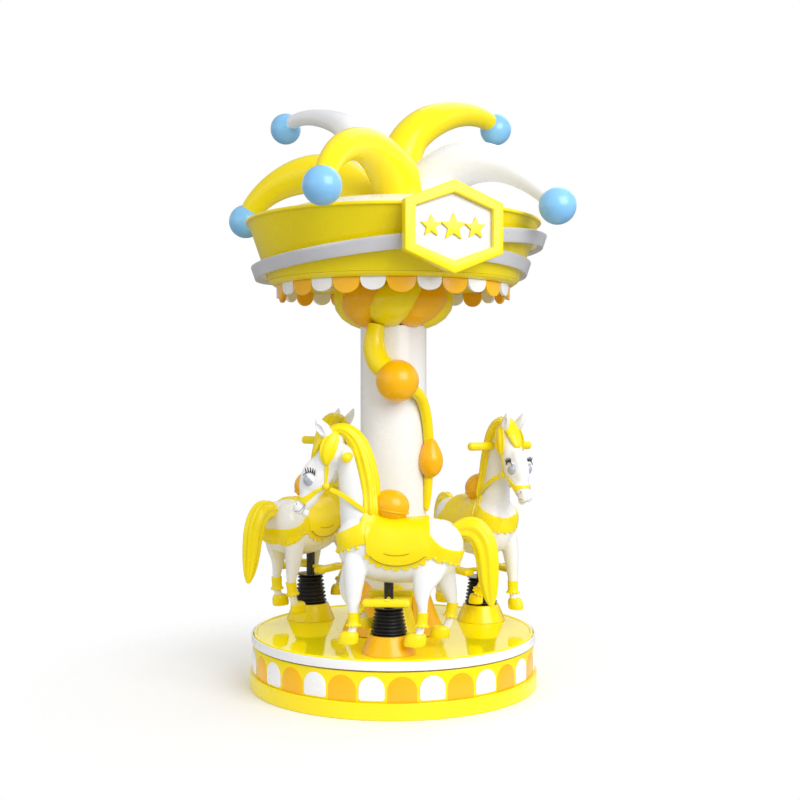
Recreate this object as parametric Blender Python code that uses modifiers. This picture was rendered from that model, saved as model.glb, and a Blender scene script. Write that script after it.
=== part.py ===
"""A three-seat fairground carousel under a jester-hat canopy.

Metres, +Z up. The origin is on the ground at the middle of the base, and the front horse
stands at -Y. An azimuth is measured from -Y towards +X, as seen by someone facing the ride.
"""

from math import cos, pi, radians, sin, sqrt, tau

import bmesh
import bpy
from mathutils import Matrix, Vector

# Driving dimensions
DECK_R = 0.625
DECK_TOP = 0.2325
FIT = 0.0003
RUNNING = 0.005
RIM_STEPS = 48
HAT_STEPS = 48
UP = Vector((0.0, 0.0, 1.0))

# Fixed base
SKIRT_R = 0.632
SKIRT_H = 0.068
SKIRT_WALL = 0.034
DRUM_R = 0.6185
DRUM_TOP = 0.188
DRUM_WALL = 0.022
ARCHES = 32
ARCH_HALF_W = 0.055
ARCH_FOOT = 0.072
ARCH_SPRING = 0.120
ARCH_PROUD = 0.0035
PLATE_T = 0.014
BOSS_R = 0.12

# Deck
DECK_T = 0.030
RIM_BAND_T = 0.008
LIP_W = 0.016
LIP_H = 0.004

# Seat stations
SEAT_CIRCLE = 0.456
POLE_R = 0.0194
POLE_RUN = 0.0012
POLE_STEPS = 14
PEDESTAL_R_LOW = 0.1125
PEDESTAL_R_TOP = 0.081
PEDESTAL_H = 0.075
BELLOWS_R_LOW = 0.079
BELLOWS_R_TOP = 0.063
BELLOWS_RIBS = 6
COLLAR_Z = 0.181
POLE_FOOT_Z = -0.130
FOOTREST_Z = 0.219
FOOTREST_Y = 0.112
FOOTREST_HALF = 0.070
FOOTREST_R = 0.025
FOOTREST_T = 0.028

# Azimuth, lift at rest above the lowest casting height, and name of each horse
SEATS = (("front", 0.0, 0.000), ("right", 120.0, 0.015), ("left", -120.0, 0.025))

# Column
COLUMN_R = 0.146
FOOT_H = 0.198
FOOT_R = 0.235
CAPITAL_LOW = 1.574
CAPITAL_R = 0.262
LOBES = 8

# Drop on the vine: height from its middle and half width
DROP_LINE = ((-0.086, 0.010), (-0.066, 0.038), (-0.024, 0.058), (0.024, 0.050), (0.060, 0.032),
             (0.090, 0.020))

# Canopy
SOFFIT_Z = 1.750
SOFFIT_R = 0.5145
RING_Z = 1.769
RING_R = 0.5516
RIM_Z = 2.019
RIM_R = 0.6375
RING_WALL = 0.020
RIM_BEAD = 0.012
VALANCE_R = 0.5125
VALANCE_T = 0.010
SCALLOPS = 28
SCALLOP_DROP = 0.056
VALANCE_BAND = 0.012
RIBBON_H = 0.056
RIBBON_PROUD = 0.028
CROWN_EDGE_Z = 1.985
CROWN_TOP = 2.135
CROWN_R = 0.600
CROWN_SHELL = 0.014
CROWN_STEPS = 24
CROWN_ROWS = 4

# Ribbons: middle height and slope of the closed one, height and span of the half one
CLOSED_Z = 1.878
CLOSED_TILT = 0.070
CLOSED_LEVEL_AZ = 2.4
HALF_Z = 1.8115
HALF_RISE = 0.030
HALF_START_AZ = 30.0
HALF_RISE_AZ = 26.0
HALF_SPAN = 22

# Badge
BADGE_AZ = 23.9
BADGE_Z = 1.930
BADGE_HALF_W = 0.200
BADGE_HALF_H = 0.182
BADGE_SHOULDER = 0.098
BADGE_FRAME_W = 0.044
BADGE_FRAME_T = 0.038
BADGE_PANEL_T = 0.014
BADGE_BACK_Y = 0.6498

# Horns: name, azimuth, ball (radius from the axis, height), profile key
BALL_R = 0.0766
HORNS = (
    ("horn_1", -17.4, (0.797, 2.069), "low", "yellow"),
    ("horn_2", -108.1, (0.733, 2.075), "side", "yellow"),
    ("horn_3", -141.5, (0.926, 2.612), "high_wide", "white"),
    ("horn_4", 142.1, (0.779, 2.577), "high", "yellow"),
    ("horn_5", 58.7, (0.799, 2.041), "reach", "white"),
)

# Centre line of each kind of horn: (radius from the axis, sideways, height, tube radius)
HORN_LINES = {
    "low": ((0.10, 0.070, 2.00, 0.135), (0.12, 0.042, 2.14, 0.125), (0.21, 0.026, 2.24, 0.101),
            (0.36, 0.0, 2.298, 0.079), (0.50, 0.0, 2.290, 0.066), (0.62, 0.0, 2.245, 0.057),
            (0.71, 0.0, 2.185, 0.050), (0.765, 0.0, 2.122, 0.046)),
    "side": ((0.12, 0.0, 2.02, 0.160), (0.19, 0.0, 2.18, 0.130), (0.30, 0.0, 2.270, 0.100),
             (0.42, 0.0, 2.278, 0.088), (0.53, 0.0, 2.250, 0.074), (0.62, 0.0, 2.205, 0.062),
             (0.685, 0.0, 2.150, 0.053), (0.712, 0.0, 2.115, 0.047)),
    "reach": ((0.12, 0.0, 2.02, 0.160), (0.18, 0.0, 2.16, 0.135), (0.29, 0.0, 2.250, 0.110),
              (0.42, 0.0, 2.265, 0.092), (0.55, 0.0, 2.235, 0.070), (0.66, 0.0, 2.172, 0.056),
              (0.74, 0.0, 2.108, 0.048), (0.768, 0.0, 2.078, 0.045)),
    "high": ((0.08, 0.060, 2.05, 0.130), (0.09, 0.055, 2.22, 0.112), (0.11, 0.043, 2.39, 0.090),
             (0.19, 0.021, 2.480, 0.086), (0.29, 0.005, 2.540, 0.076), (0.43, 0.0, 2.590, 0.062),
             (0.57, 0.0, 2.614, 0.052), (0.67, 0.0, 2.614, 0.047), (0.728, 0.0, 2.602, 0.044)),
    "high_wide": ((0.12, 0.0, 2.02, 0.160), (0.14, 0.0, 2.22, 0.125), (0.24, 0.0, 2.42, 0.084),
                  (0.38, 0.0, 2.533, 0.060), (0.54, 0.0, 2.592, 0.045), (0.70, 0.0, 2.632, 0.037),
                  (0.82, 0.0, 2.640, 0.034), (0.872, 0.0, 2.630, 0.033)),
}

COLOURS = {
    "yellow": ((0.98, 0.80, 0.03), 0.22, 0.0),
    "orange": ((0.98, 0.55, 0.02), 0.22, 0.0),
    "white": ((0.93, 0.93, 0.92), 0.20, 0.0),
    "sky_blue": ((0.24, 0.60, 0.88), 0.22, 0.0),
    "silver_white": ((0.80, 0.81, 0.83), 0.28, 0.0),
    "black_rubber": ((0.012, 0.012, 0.013), 0.55, 0.0),
    "black_steel": ((0.02, 0.02, 0.022), 0.30, 0.8),
    "steel_plate": ((0.45, 0.46, 0.47), 0.40, 0.9),
}


def clear_scene():
    """Remove what the scene holds."""
    for item in list(bpy.data.objects):
        bpy.data.objects.remove(item, do_unlink=True)


def new_collection(name):
    """Return a collection of this name, linked to the scene."""
    group = bpy.data.collections.new(name)
    bpy.context.scene.collection.children.link(group)
    return group


def paint(name):
    """Return the Principled material of a colour."""
    found = bpy.data.materials.get(name)
    if found:
        return found
    colour, roughness, metallic = COLOURS[name]
    made = bpy.data.materials.new(name)
    made.use_nodes = True
    shader = made.node_tree.nodes["Principled BSDF"]
    shader.inputs["Base Color"].default_value = (*colour, 1.0)
    shader.inputs["Roughness"].default_value = roughness
    shader.inputs["Metallic"].default_value = metallic
    return made


def azimuth_point(azimuth, radius, z):
    """Return the point at an azimuth in degrees, a radius from the axis and a height."""
    turn = radians(azimuth)
    return Vector((radius * sin(turn), -radius * cos(turn), z))


def mesh_from(verts, faces):
    """Return a mesh with its faces pointing outwards."""
    made = bmesh.new()
    corners = [made.verts.new(vert) for vert in verts]
    for face in faces:
        made.faces.new([corners[index] for index in face])
    bmesh.ops.recalc_face_normals(made, faces=made.faces)
    mesh = bpy.data.meshes.new("shape")
    made.to_mesh(mesh)
    made.free()
    return mesh


def loft(rings, closed=False):
    """Return a mesh through rings of equal count, capped unless it closes on itself."""
    count = len(rings[0])
    verts = [point for ring in rings for point in ring]
    faces = []
    last = len(rings) if closed else len(rings) - 1
    for step in range(last):
        low = step * count
        high = ((step + 1) % len(rings)) * count
        for side in range(count):
            nxt = (side + 1) % count
            faces.append((low + side, low + nxt, high + nxt))
            faces.append((low + side, high + nxt, high + side))
    if not closed:
        faces.append(tuple(range(count)))
        faces.append(tuple(range(len(verts) - count, len(verts))))
    return mesh_from(verts, faces)


def turned(profile, steps, closed=False):
    """Return a mesh turned about Z from a profile of (radius, height) points."""
    mesh = bpy.data.meshes.new("profile")
    edges = [(index, index + 1) for index in range(len(profile) - 1)]
    if closed:
        edges.append((len(profile) - 1, 0))
    mesh.from_pydata([(radius, 0.0, z) for radius, z in profile], edges, [])
    turner = bpy.data.objects.new("turner", mesh)
    bpy.context.scene.collection.objects.link(turner)
    screw = turner.modifiers.new("turn", "SCREW")
    screw.steps = steps
    screw.render_steps = steps
    screw.use_merge_vertices = True
    screw.merge_threshold = 0.00005
    return outward(evaluated(turner))


def evaluated(item):
    """Return the mesh of an object with its modifiers applied, and remove the object."""
    graph = bpy.context.evaluated_depsgraph_get()
    mesh = bpy.data.meshes.new_from_object(item.evaluated_get(graph))
    bpy.data.objects.remove(item, do_unlink=True)
    return mesh


def outward(mesh):
    """Weld a mesh's doubles and turn its faces outwards."""
    made = bmesh.new()
    made.from_mesh(mesh)
    bmesh.ops.remove_doubles(made, verts=made.verts, dist=0.00001)
    bmesh.ops.recalc_face_normals(made, faces=made.faces)
    made.to_mesh(mesh)
    made.free()
    return mesh


def combine(base, others, operation):
    """Return a mesh joined to others, or cut by them."""
    scene = bpy.context.scene.collection
    for other in others:
        target = bpy.data.objects.new("target", base)
        tool = bpy.data.objects.new("tool", other)
        scene.objects.link(target)
        scene.objects.link(tool)
        join = target.modifiers.new("join", "BOOLEAN")
        join.operation = operation
        join.object = tool
        bpy.context.view_layer.update()
        base = evaluated(target)
        bpy.data.objects.remove(tool, do_unlink=True)
    return base


def largest_body(mesh):
    """Keep only the largest connected body of a mesh."""
    made = bmesh.new()
    made.from_mesh(mesh)
    bmesh.ops.remove_doubles(made, verts=made.verts, dist=0.000005)
    waiting = set(made.verts)
    bodies = []
    while waiting:
        body = set()
        front = [waiting.pop()]
        while front:
            vert = front.pop()
            body.add(vert)
            for edge in vert.link_edges:
                other = edge.other_vert(vert)
                if other in waiting:
                    waiting.discard(other)
                    front.append(other)
        bodies.append(body)
    keep = max(bodies, key=len)
    bmesh.ops.delete(made, geom=[vert for vert in made.verts if vert not in keep], context="VERTS")
    made.to_mesh(mesh)
    made.free()
    return mesh


def place(name, mesh, colour, group, parent=None, smooth=40.0):
    """Add a named piece with its paint."""
    mesh.name = name
    mesh.materials.clear()
    mesh.materials.append(paint(colour))
    mesh.shade_smooth()
    mesh.set_sharp_from_angle(angle=radians(smooth))
    piece = bpy.data.objects.new(name, mesh)
    group.objects.link(piece)
    if parent:
        piece.parent = parent
    return piece


def cylinder(radius, low, high, steps, centre=(0.0, 0.0)):
    """Return an upright cylinder mesh."""
    made = bmesh.new()
    shift = Matrix.Translation((centre[0], centre[1], (low + high) / 2.0))
    bmesh.ops.create_cone(made, cap_ends=True, segments=steps, radius1=radius, radius2=radius,
                          depth=high - low, matrix=shift)
    mesh = bpy.data.meshes.new("cylinder")
    made.to_mesh(mesh)
    made.free()
    return mesh


def rod(start, end, radius, steps):
    """Return a cylinder mesh between two points."""
    start = Vector(start)
    end = Vector(end)
    turn = (end - start).to_track_quat("Z", "Y").to_matrix().to_4x4()
    half_step = Matrix.Rotation(pi / steps, 4, "Z")
    spot = Matrix.Translation((start + end) / 2.0)
    made = bmesh.new()
    bmesh.ops.create_cone(made, cap_ends=True, segments=steps, radius1=radius, radius2=radius,
                          depth=(end - start).length, matrix=spot @ turn @ half_step)
    mesh = bpy.data.meshes.new("rod")
    made.to_mesh(mesh)
    made.free()
    return mesh


def ball(centre, radius, rows, columns):
    """Return a sphere mesh."""
    made = bmesh.new()
    bmesh.ops.create_uvsphere(made, u_segments=columns, v_segments=rows, radius=radius,
                              matrix=Matrix.Translation(centre))
    mesh = bpy.data.meshes.new("ball")
    made.to_mesh(mesh)
    made.free()
    return mesh


def limb(stations, sides, grow=0.0):
    """Return a tapered body through stations (x, y, z, half depth, half width)."""
    points = [Vector(station[:3]) for station in stations]
    points[0] -= (points[1] - points[0]).normalized() * grow
    points[-1] += (points[-1] - points[-2]).normalized() * grow
    rings = []
    for index, station in enumerate(stations):
        before = points[max(index - 1, 0)]
        after = points[min(index + 1, len(points) - 1)]
        along = (after - before).normalized()
        across = Vector((0.0, 1.0, 0.0))
        across = (across - along * across.dot(along)).normalized()
        outward_axis = along.cross(across)
        ring = []
        for side in range(sides):
            angle = tau * (side + 0.5) / sides
            reach = outward_axis * (cos(angle) * (station[3] + grow))
            ring.append(points[index] + reach + across * (sin(angle) * (station[4] + grow)))
        rings.append(ring)
    return loft(rings)


def skirt():
    """Bottom band of the base."""
    inner = SKIRT_R - SKIRT_WALL
    edge = 0.006
    profile = ((SKIRT_R - edge, SKIRT_H), (SKIRT_R, SKIRT_H - edge), (SKIRT_R, 0.0),
               (inner, 0.0), (inner, SKIRT_H))
    return turned(profile, RIM_STEPS, closed=True)


def arch_panel(azimuth):
    """One raised arch, made of upright slices that follow the drum's curve."""
    rings = []
    for part in (-1.0, -0.62, 0.0, 0.62, 1.0):
        turn = azimuth + (180.0 / pi) * part * ARCH_HALF_W / DRUM_R
        top = ARCH_SPRING + sqrt(max(0.0, 1.0 - part * part)) * ARCH_HALF_W
        inner = DRUM_R - DRUM_WALL * 0.5
        outer = DRUM_R + ARCH_PROUD
        rings.append([azimuth_point(turn, inner, ARCH_FOOT), azimuth_point(turn, outer, ARCH_FOOT),
                      azimuth_point(turn, outer, top), azimuth_point(turn, inner, top)])
    return loft(rings)


def drum():
    """Drum wall with the raised white arches."""
    inner = DRUM_R - DRUM_WALL
    foot = SKIRT_H + FIT
    profile = ((DRUM_R, DRUM_TOP), (DRUM_R, foot), (inner, foot), (inner, DRUM_TOP))
    wall = turned(profile, RIM_STEPS, closed=True)
    pitch = 360.0 / ARCHES
    arches = [arch_panel(pitch * (2 * index + 0.5)) for index in range(ARCHES // 2)]
    return combine(wall, arches, "UNION")


def floor_plate():
    """Floor of the base with the bearing boss that carries the deck."""
    radius = SKIRT_R - SKIRT_WALL - FIT
    boss_top = DECK_TOP - DECK_T - FIT
    flare = 0.02
    profile = ((0.0, boss_top), (BOSS_R, boss_top), (BOSS_R, PLATE_T + flare), (BOSS_R + flare, PLATE_T),
               (radius, PLATE_T), (radius, 0.0), (0.0, 0.0))
    return turned(profile, RIM_STEPS)


def rim_band():
    """White band round the edge of the deck."""
    low = DRUM_TOP + RUNNING
    outer = DECK_R + 0.0005
    inner = outer - RIM_BAND_T
    profile = ((outer, DECK_TOP), (outer, low), (inner, low), (inner, DECK_TOP))
    return turned(profile, RIM_STEPS, closed=True)


def deck():
    """Turning floor with its rounded lip and the holes for the poles."""
    outer = DECK_R + 0.0005 - RIM_BAND_T - FIT
    low = DECK_TOP - DECK_T
    profile = ((0.0, DECK_TOP), (outer - LIP_W, DECK_TOP), (outer - LIP_W * 0.75, DECK_TOP + LIP_H),
               (outer - LIP_W * 0.25, DECK_TOP + LIP_H), (outer, DECK_TOP), (outer, low), (0.0, low))
    disc = turned(profile, RIM_STEPS)
    holes = []
    for _, azimuth, _ in SEATS:
        spot = azimuth_point(azimuth, SEAT_CIRCLE, 0.0)
        holes.append(cylinder(POLE_R + POLE_RUN, low - 0.01, DECK_TOP + 0.01, POLE_STEPS, spot[:2]))
    return combine(disc, holes, "DIFFERENCE")


def pedestal():
    """Cone that each pole comes out of, bored for it."""
    bore = POLE_R + POLE_RUN
    lip = 0.006
    profile = ((bore, PEDESTAL_H), (PEDESTAL_R_TOP, PEDESTAL_H), (PEDESTAL_R_TOP, PEDESTAL_H - lip),
               (PEDESTAL_R_LOW - lip, 2.0 * lip), (PEDESTAL_R_LOW, FIT), (bore, FIT))
    return turned(profile, 20, closed=True)


def bellows(lift):
    """Rubber concertina between the pedestal and the pole's collar."""
    low = PEDESTAL_H + FIT
    high = COLLAR_Z + lift - FIT
    wall = 0.006
    groove = 0.014
    steps = 2 * BELLOWS_RIBS
    outer = []
    for index in range(steps + 1):
        part = index / steps
        radius = BELLOWS_R_TOP + (BELLOWS_R_LOW - BELLOWS_R_TOP) * part
        if index % 2 == 0:
            radius -= groove
        outer.append((radius, high + (low - high) * part))
    inner_r = POLE_R + 0.006
    neck_r = POLE_R + 0.001
    profile = outer + [(inner_r, low), (inner_r, high - wall), (neck_r, high - wall), (neck_r, high)]
    return turned(profile, 14, closed=True)


def lobed_ring(radius, z, swell, twist, points):
    """Ring of points with lobes, for the capital and the column's foot."""
    ring = []
    for index in range(points):
        angle = tau * index / points
        lobe = abs(cos(LOBES * 0.5 * angle + twist))
        reach = radius * (1.0 - swell + swell * lobe)
        ring.append(Vector((reach * sin(angle), -reach * cos(angle), z)))
    return ring


def column_foot():
    """Flared petals where the column stands on the deck."""
    low = DECK_TOP + FIT
    stations = ((0.00, 1.00, 0.10), (0.12, 0.97, 0.10), (0.40, 0.83, 0.08), (0.72, 0.72, 0.04),
                (1.00, 0.682, 0.0))
    rings = []
    for up, wide, swell in stations:
        rings.append(lobed_ring(FOOT_R * wide, low + FOOT_H * up, swell, 0.0, 24))
    return loft(rings)


def column():
    """White centre column."""
    return cylinder(COLUMN_R, DECK_TOP + FOOT_H + 2.0 * FIT, CAPITAL_LOW - FIT, 32)


def capital():
    """Swirled lobes that widen from the column to the soffit."""
    high = SOFFIT_Z - FIT
    height = high - CAPITAL_LOW
    stations = ((0.00, 0.56, 0.0, 0.0), (0.10, 0.66, 0.05, 0.1), (0.32, 0.84, 0.10, 0.25),
                (0.62, 0.97, 0.11, 0.45), (0.85, 1.00, 0.10, 0.6), (1.00, 0.96, 0.08, 0.7))
    rings = [lobed_ring(CAPITAL_R * wide, CAPITAL_LOW + height * up, swell, twist, 24)
             for up, wide, swell, twist in stations]
    return loft(rings)


def tube_through(points, sides):
    """Return a tapered tube through (x, y, z, radius) points."""
    centres = [Vector(point[:3]) for point in points]
    rings = []
    across = Vector((0.0, 1.0, 0.0))
    for index, point in enumerate(points):
        along = (centres[min(index + 1, len(points) - 1)] - centres[max(index - 1, 0)]).normalized()
        across = (across - along * across.dot(along)).normalized()
        other = along.cross(across)
        ring = []
        for side in range(sides):
            angle = tau * side / sides
            ring.append(centres[index] + (across * cos(angle) + other * sin(angle)) * point[3])
        rings.append(ring)
    return loft(rings)


def vine_point(azimuth, z, stand_off):
    """Point on the vine: an azimuth, a height and a distance off the column's face."""
    return azimuth_point(azimuth, COLUMN_R + stand_off, z)


def vine():
    """Curl, ball, stalk and drop that wind down the front of the column."""
    curl = ((-25.0, 1.572, 0.024, 0.038), (-26.0, 1.510, 0.030, 0.044), (-22.0, 1.435, 0.036, 0.049),
            (-6.0, 1.385, 0.046, 0.050))
    stalk = ((26.0, 1.300, 0.046, 0.028), (48.0, 1.252, 0.026, 0.0245), (61.0, 1.180, 0.023, 0.0235),
             (69.0, 1.090, 0.021, 0.0225), (70.0, 0.900, 0.019, 0.0195), (70.0, 0.800, 0.014, 0.015))
    tubes = []
    for line in (curl, stalk):
        points = []
        for azimuth, z, stand_off, radius in line:
            points.append((*vine_point(azimuth, z, stand_off), radius))
        tubes.append(tube_through(points, 6))
    globe = ball(vine_point(7.0, 1.333, 0.062), 0.092, 7, 10)
    drop = limb([(0.0, 0.0, z, wide, wide) for z, wide in DROP_LINE], 8)
    drop.transform(Matrix.Translation(vine_point(66.0, 0.996, 0.035)))
    joined = combine(globe, (tubes[0], tubes[1], drop), "UNION")
    shaft = cylinder(COLUMN_R + 2.0 * FIT, 0.5, CAPITAL_LOW + 0.002, 32)
    return largest_body(combine(joined, (shaft,), "DIFFERENCE"))


def ring_radius(z):
    """Outer radius of the hat ring at a height."""
    return RING_R + (RIM_R - RING_R) * (z - RING_Z) / (RIM_Z - RING_Z)


def soffit():
    """Disc that closes the canopy from below, coned out to the hat ring."""
    high = RING_Z - FIT
    profile = ((0.0, high), (RING_R, high), (RING_R, high - 0.003), (SOFFIT_R + 0.012, SOFFIT_Z),
               (0.0, SOFFIT_Z))
    return turned(profile, HAT_STEPS)


def valance():
    """Scalloped skirt under the edge of the canopy."""
    high = SOFFIT_Z - FIT
    rings = []
    slices = 3
    for index in range(SCALLOPS * slices):
        part = 2.0 * (index % slices) / slices - 1.0
        azimuth = (index / slices) * 360.0 / SCALLOPS
        drop = VALANCE_BAND + (SCALLOP_DROP - VALANCE_BAND) * sqrt(max(0.0, 1.0 - part * part))
        outer = VALANCE_R
        inner = VALANCE_R - VALANCE_T
        rings.append([azimuth_point(azimuth, outer, high), azimuth_point(azimuth, outer, high - drop),
                      azimuth_point(azimuth, inner, high - drop), azimuth_point(azimuth, inner, high)])
    return loft(rings, closed=True)


def hat_ring():
    """Tapered ring of the hat with its rounded rim."""
    low = RIM_Z - RIM_BEAD
    profile = ((RIM_R - 0.012, RIM_Z + RIM_BEAD), (RIM_R + 0.002, RIM_Z + RIM_BEAD),
               (RIM_R + RIM_BEAD, RIM_Z + 0.003), (RIM_R + RIM_BEAD - 0.003, low + 0.002),
               (ring_radius(low), low), (RING_R, RING_Z), (RING_R - RING_WALL, RING_Z),
               (RIM_R - RING_WALL, RIM_Z))
    return turned(profile, HAT_STEPS, closed=True)


def ribbon(heights, azimuths, closed):
    """Flat band that follows the hat ring at a height given for each azimuth."""
    rings = []
    for azimuth, z in zip(azimuths, heights):
        low = z - RIBBON_H / 2.0
        high = z + RIBBON_H / 2.0
        ring = []
        for level, proud in ((low, FIT * 2.0), (low, RIBBON_PROUD), (high, RIBBON_PROUD), (high, FIT * 2.0)):
            ring.append(azimuth_point(azimuth, ring_radius(level) + proud, level))
        rings.append(ring)
    return loft(rings, closed=closed)


def tilted_height(azimuth):
    """Height of the closed ribbon, low on the left and high on the right."""
    return CLOSED_Z + CLOSED_TILT * sin(radians(azimuth - CLOSED_LEVEL_AZ))


def closed_ribbon():
    """Ribbon that goes all the way round."""
    azimuths = [index * 360.0 / HAT_STEPS for index in range(HAT_STEPS)]
    return ribbon([tilted_height(azimuth) for azimuth in azimuths], azimuths, True)


def half_ribbon():
    """Ribbon from behind the badge round the right side, under the closed one."""
    azimuths = [HALF_START_AZ + index * 360.0 / HAT_STEPS for index in range(HALF_SPAN)]
    heights = []
    for azimuth in azimuths:
        heights.append(HALF_Z + HALF_RISE * max(0.0, cos(radians(azimuth - HALF_RISE_AZ))) ** 2)
    return ribbon(heights, azimuths, False)


def crown():
    """White dome inside the hat ring, open underneath."""
    outer = dome_line(0.0)
    foot_r = ring_radius(RING_Z) - RING_WALL - 0.002
    shrink = 0.965
    inner = [(radius * shrink, z - CROWN_SHELL) for radius, z in reversed(outer[1:-1])]
    feet = [(foot_r, RING_Z), (foot_r - CROWN_SHELL, RING_Z)]
    return turned(outer + feet + inner + [(0.0, CROWN_TOP - CROWN_SHELL)], CROWN_STEPS)


def dome_line(grow):
    """Profile of the crown's top, from the axis out to its edge."""
    line = []
    for index in range(CROWN_ROWS + 1):
        turn = index * pi / (2.0 * CROWN_ROWS)
        height = (CROWN_TOP + grow - CROWN_EDGE_Z) * cos(turn)
        line.append(((CROWN_R + grow) * sin(turn), CROWN_EDGE_Z + height))
    return line


def horn(azimuth, line, low_turn, high_turn):
    """Tapered horn in its own sector of the crown."""
    tube = limb([(radius, side, z, thick, thick) for radius, side, z, thick in line], 10)
    tube.transform(Matrix.Rotation(radians(azimuth - 90.0), 4, "Z"))
    wedge_r = 1.6
    seam = 0.0008
    steps = 4
    middle = azimuth_point((low_turn + high_turn) / 2.0, seam, 0.0)
    corners = [middle]
    for index in range(steps + 1):
        turn = low_turn + (high_turn - low_turn) * index / steps
        corners.append(middle + azimuth_point(turn, wedge_r, 0.0))
    wedge = loft([[corner + UP * z for corner in corners] for z in (1.9, 3.0)])
    part = combine(tube, (wedge,), "INTERSECT")
    return largest_body(combine(part, (crown_block(),), "DIFFERENCE"))


def crown_block():
    """Solid under the crown's surface, grown by the fit, that trims the horns."""
    floor = 1.70
    return turned(dome_line(2.0 * FIT) + [(CROWN_R, floor), (0.0, floor)], CROWN_STEPS)


def hexagon(inset):
    """Outline of the badge, (across, up), drawn in by an inset."""
    half_w = BADGE_HALF_W - inset
    half_h = BADGE_HALF_H - inset * 1.15
    shoulder = BADGE_SHOULDER - inset * 0.58
    return ((0.0, half_h), (half_w, shoulder), (half_w, -shoulder), (0.0, -half_h), (-half_w, -shoulder),
            (-half_w, shoulder))


def badge_ring(inset, reach):
    """Hexagon of points at a distance from the axis, upright and facing out."""
    turn = radians(BADGE_AZ)
    outward_axis = Vector((sin(turn), -cos(turn), 0.0))
    across = Vector((cos(turn), sin(turn), 0.0))
    return [outward_axis * reach + across * side + UP * (BADGE_Z + up) for side, up in hexagon(inset)]


def badge_frame():
    """Deep hexagonal frame."""
    front = BADGE_BACK_Y + BADGE_FRAME_T
    rings = [badge_ring(0.0, BADGE_BACK_Y), badge_ring(0.0, front - 0.005), badge_ring(0.005, front),
             badge_ring(BADGE_FRAME_W - 0.004, front), badge_ring(BADGE_FRAME_W, front - 0.004),
             badge_ring(BADGE_FRAME_W, BADGE_BACK_Y)]
    return loft(rings, closed=True)


def badge_panel():
    """Recessed panel of the badge."""
    inset = BADGE_FRAME_W + FIT
    return loft([badge_ring(inset, BADGE_BACK_Y), badge_ring(inset, BADGE_BACK_Y + BADGE_PANEL_T)])


# Horse, in its own frame: x forward, y away from the column, z above the deck at its lowest height
TORSO = ((0.196, 0.0, 0.470, 0.030, 0.030), (0.176, 0.0, 0.463, 0.086, 0.072),
         (0.120, 0.0, 0.442, 0.126, 0.098), (0.040, 0.0, 0.418, 0.136, 0.110),
         (-0.050, 0.0, 0.408, 0.129, 0.108), (-0.140, 0.0, 0.415, 0.130, 0.110),
         (-0.220, 0.0, 0.430, 0.118, 0.106), (-0.272, 0.0, 0.436, 0.084, 0.078),
         (-0.298, 0.0, 0.440, 0.030, 0.030))
NECK = ((0.085, 0.0, 0.450, 0.095, 0.080), (0.122, 0.0, 0.560, 0.080, 0.062),
        (0.140, 0.0, 0.660, 0.062, 0.049), (0.152, 0.0, 0.760, 0.052, 0.043),
        (0.182, 0.0, 0.850, 0.042, 0.036))
HEAD = ((0.195, 0.0, 0.895, 0.022, 0.024), (0.212, 0.0, 0.865, 0.042, 0.040),
        (0.248, 0.0, 0.790, 0.056, 0.052), (0.292, 0.0, 0.702, 0.057, 0.051),
        (0.328, 0.0, 0.632, 0.044, 0.041), (0.350, 0.0, 0.592, 0.043, 0.042),
        (0.362, 0.0, 0.566, 0.024, 0.026))
EAR = ((0.215, 0.030, 0.868, 0.022, 0.015), (0.262, 0.040, 0.908, 0.025, 0.013),
       (0.284, 0.045, 0.950, 0.006, 0.004))
FORE_OUTER = ((0.128, 0.060, 0.420, 0.058, 0.040), (0.134, 0.074, 0.320, 0.046, 0.036),
              (0.137, 0.082, 0.235, 0.031, 0.027), (0.137, 0.085, 0.184, 0.021, 0.020),
              (0.137, 0.085, 0.176, 0.024, 0.024), (0.137, 0.086, 0.126, 0.024, 0.024),
              (0.138, 0.086, 0.112, 0.019, 0.019), (0.154, 0.087, 0.096, 0.033, 0.027),
              (0.159, 0.087, 0.050, 0.041, 0.032))
FORE_INNER = ((0.128, -0.060, 0.420, 0.058, 0.040), (0.152, -0.072, 0.320, 0.044, 0.034),
              (0.188, -0.080, 0.240, 0.031, 0.028), (0.168, -0.084, 0.192, 0.021, 0.020),
              (0.152, -0.085, 0.172, 0.024, 0.024), (0.122, -0.086, 0.142, 0.024, 0.024),
              (0.114, -0.086, 0.132, 0.019, 0.019), (0.104, -0.086, 0.122, 0.032, 0.027),
              (0.092, -0.086, 0.084, 0.036, 0.031))
HIND_OUTER = ((-0.188, 0.055, 0.420, 0.087, 0.045), (-0.166, 0.073, 0.330, 0.065, 0.040),
              (-0.142, 0.083, 0.262, 0.043, 0.031), (-0.133, 0.088, 0.215, 0.025, 0.024),
              (-0.137, 0.091, 0.186, 0.021, 0.020), (-0.138, 0.092, 0.178, 0.024, 0.024),
              (-0.134, 0.092, 0.126, 0.024, 0.024), (-0.132, 0.092, 0.112, 0.019, 0.019),
              (-0.111, 0.092, 0.094, 0.035, 0.027), (-0.105, 0.092, 0.040, 0.043, 0.031))
HIND_INNER = ((-0.200, -0.055, 0.420, 0.085, 0.045), (-0.222, -0.070, 0.330, 0.056, 0.038),
              (-0.268, -0.080, 0.245, 0.034, 0.028), (-0.262, -0.083, 0.196, 0.022, 0.020),
              (-0.260, -0.084, 0.186, 0.024, 0.024), (-0.250, -0.085, 0.132, 0.024, 0.024),
              (-0.246, -0.085, 0.116, 0.019, 0.019), (-0.222, -0.085, 0.096, 0.034, 0.027),
              (-0.212, -0.085, 0.040, 0.042, 0.031))
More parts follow.
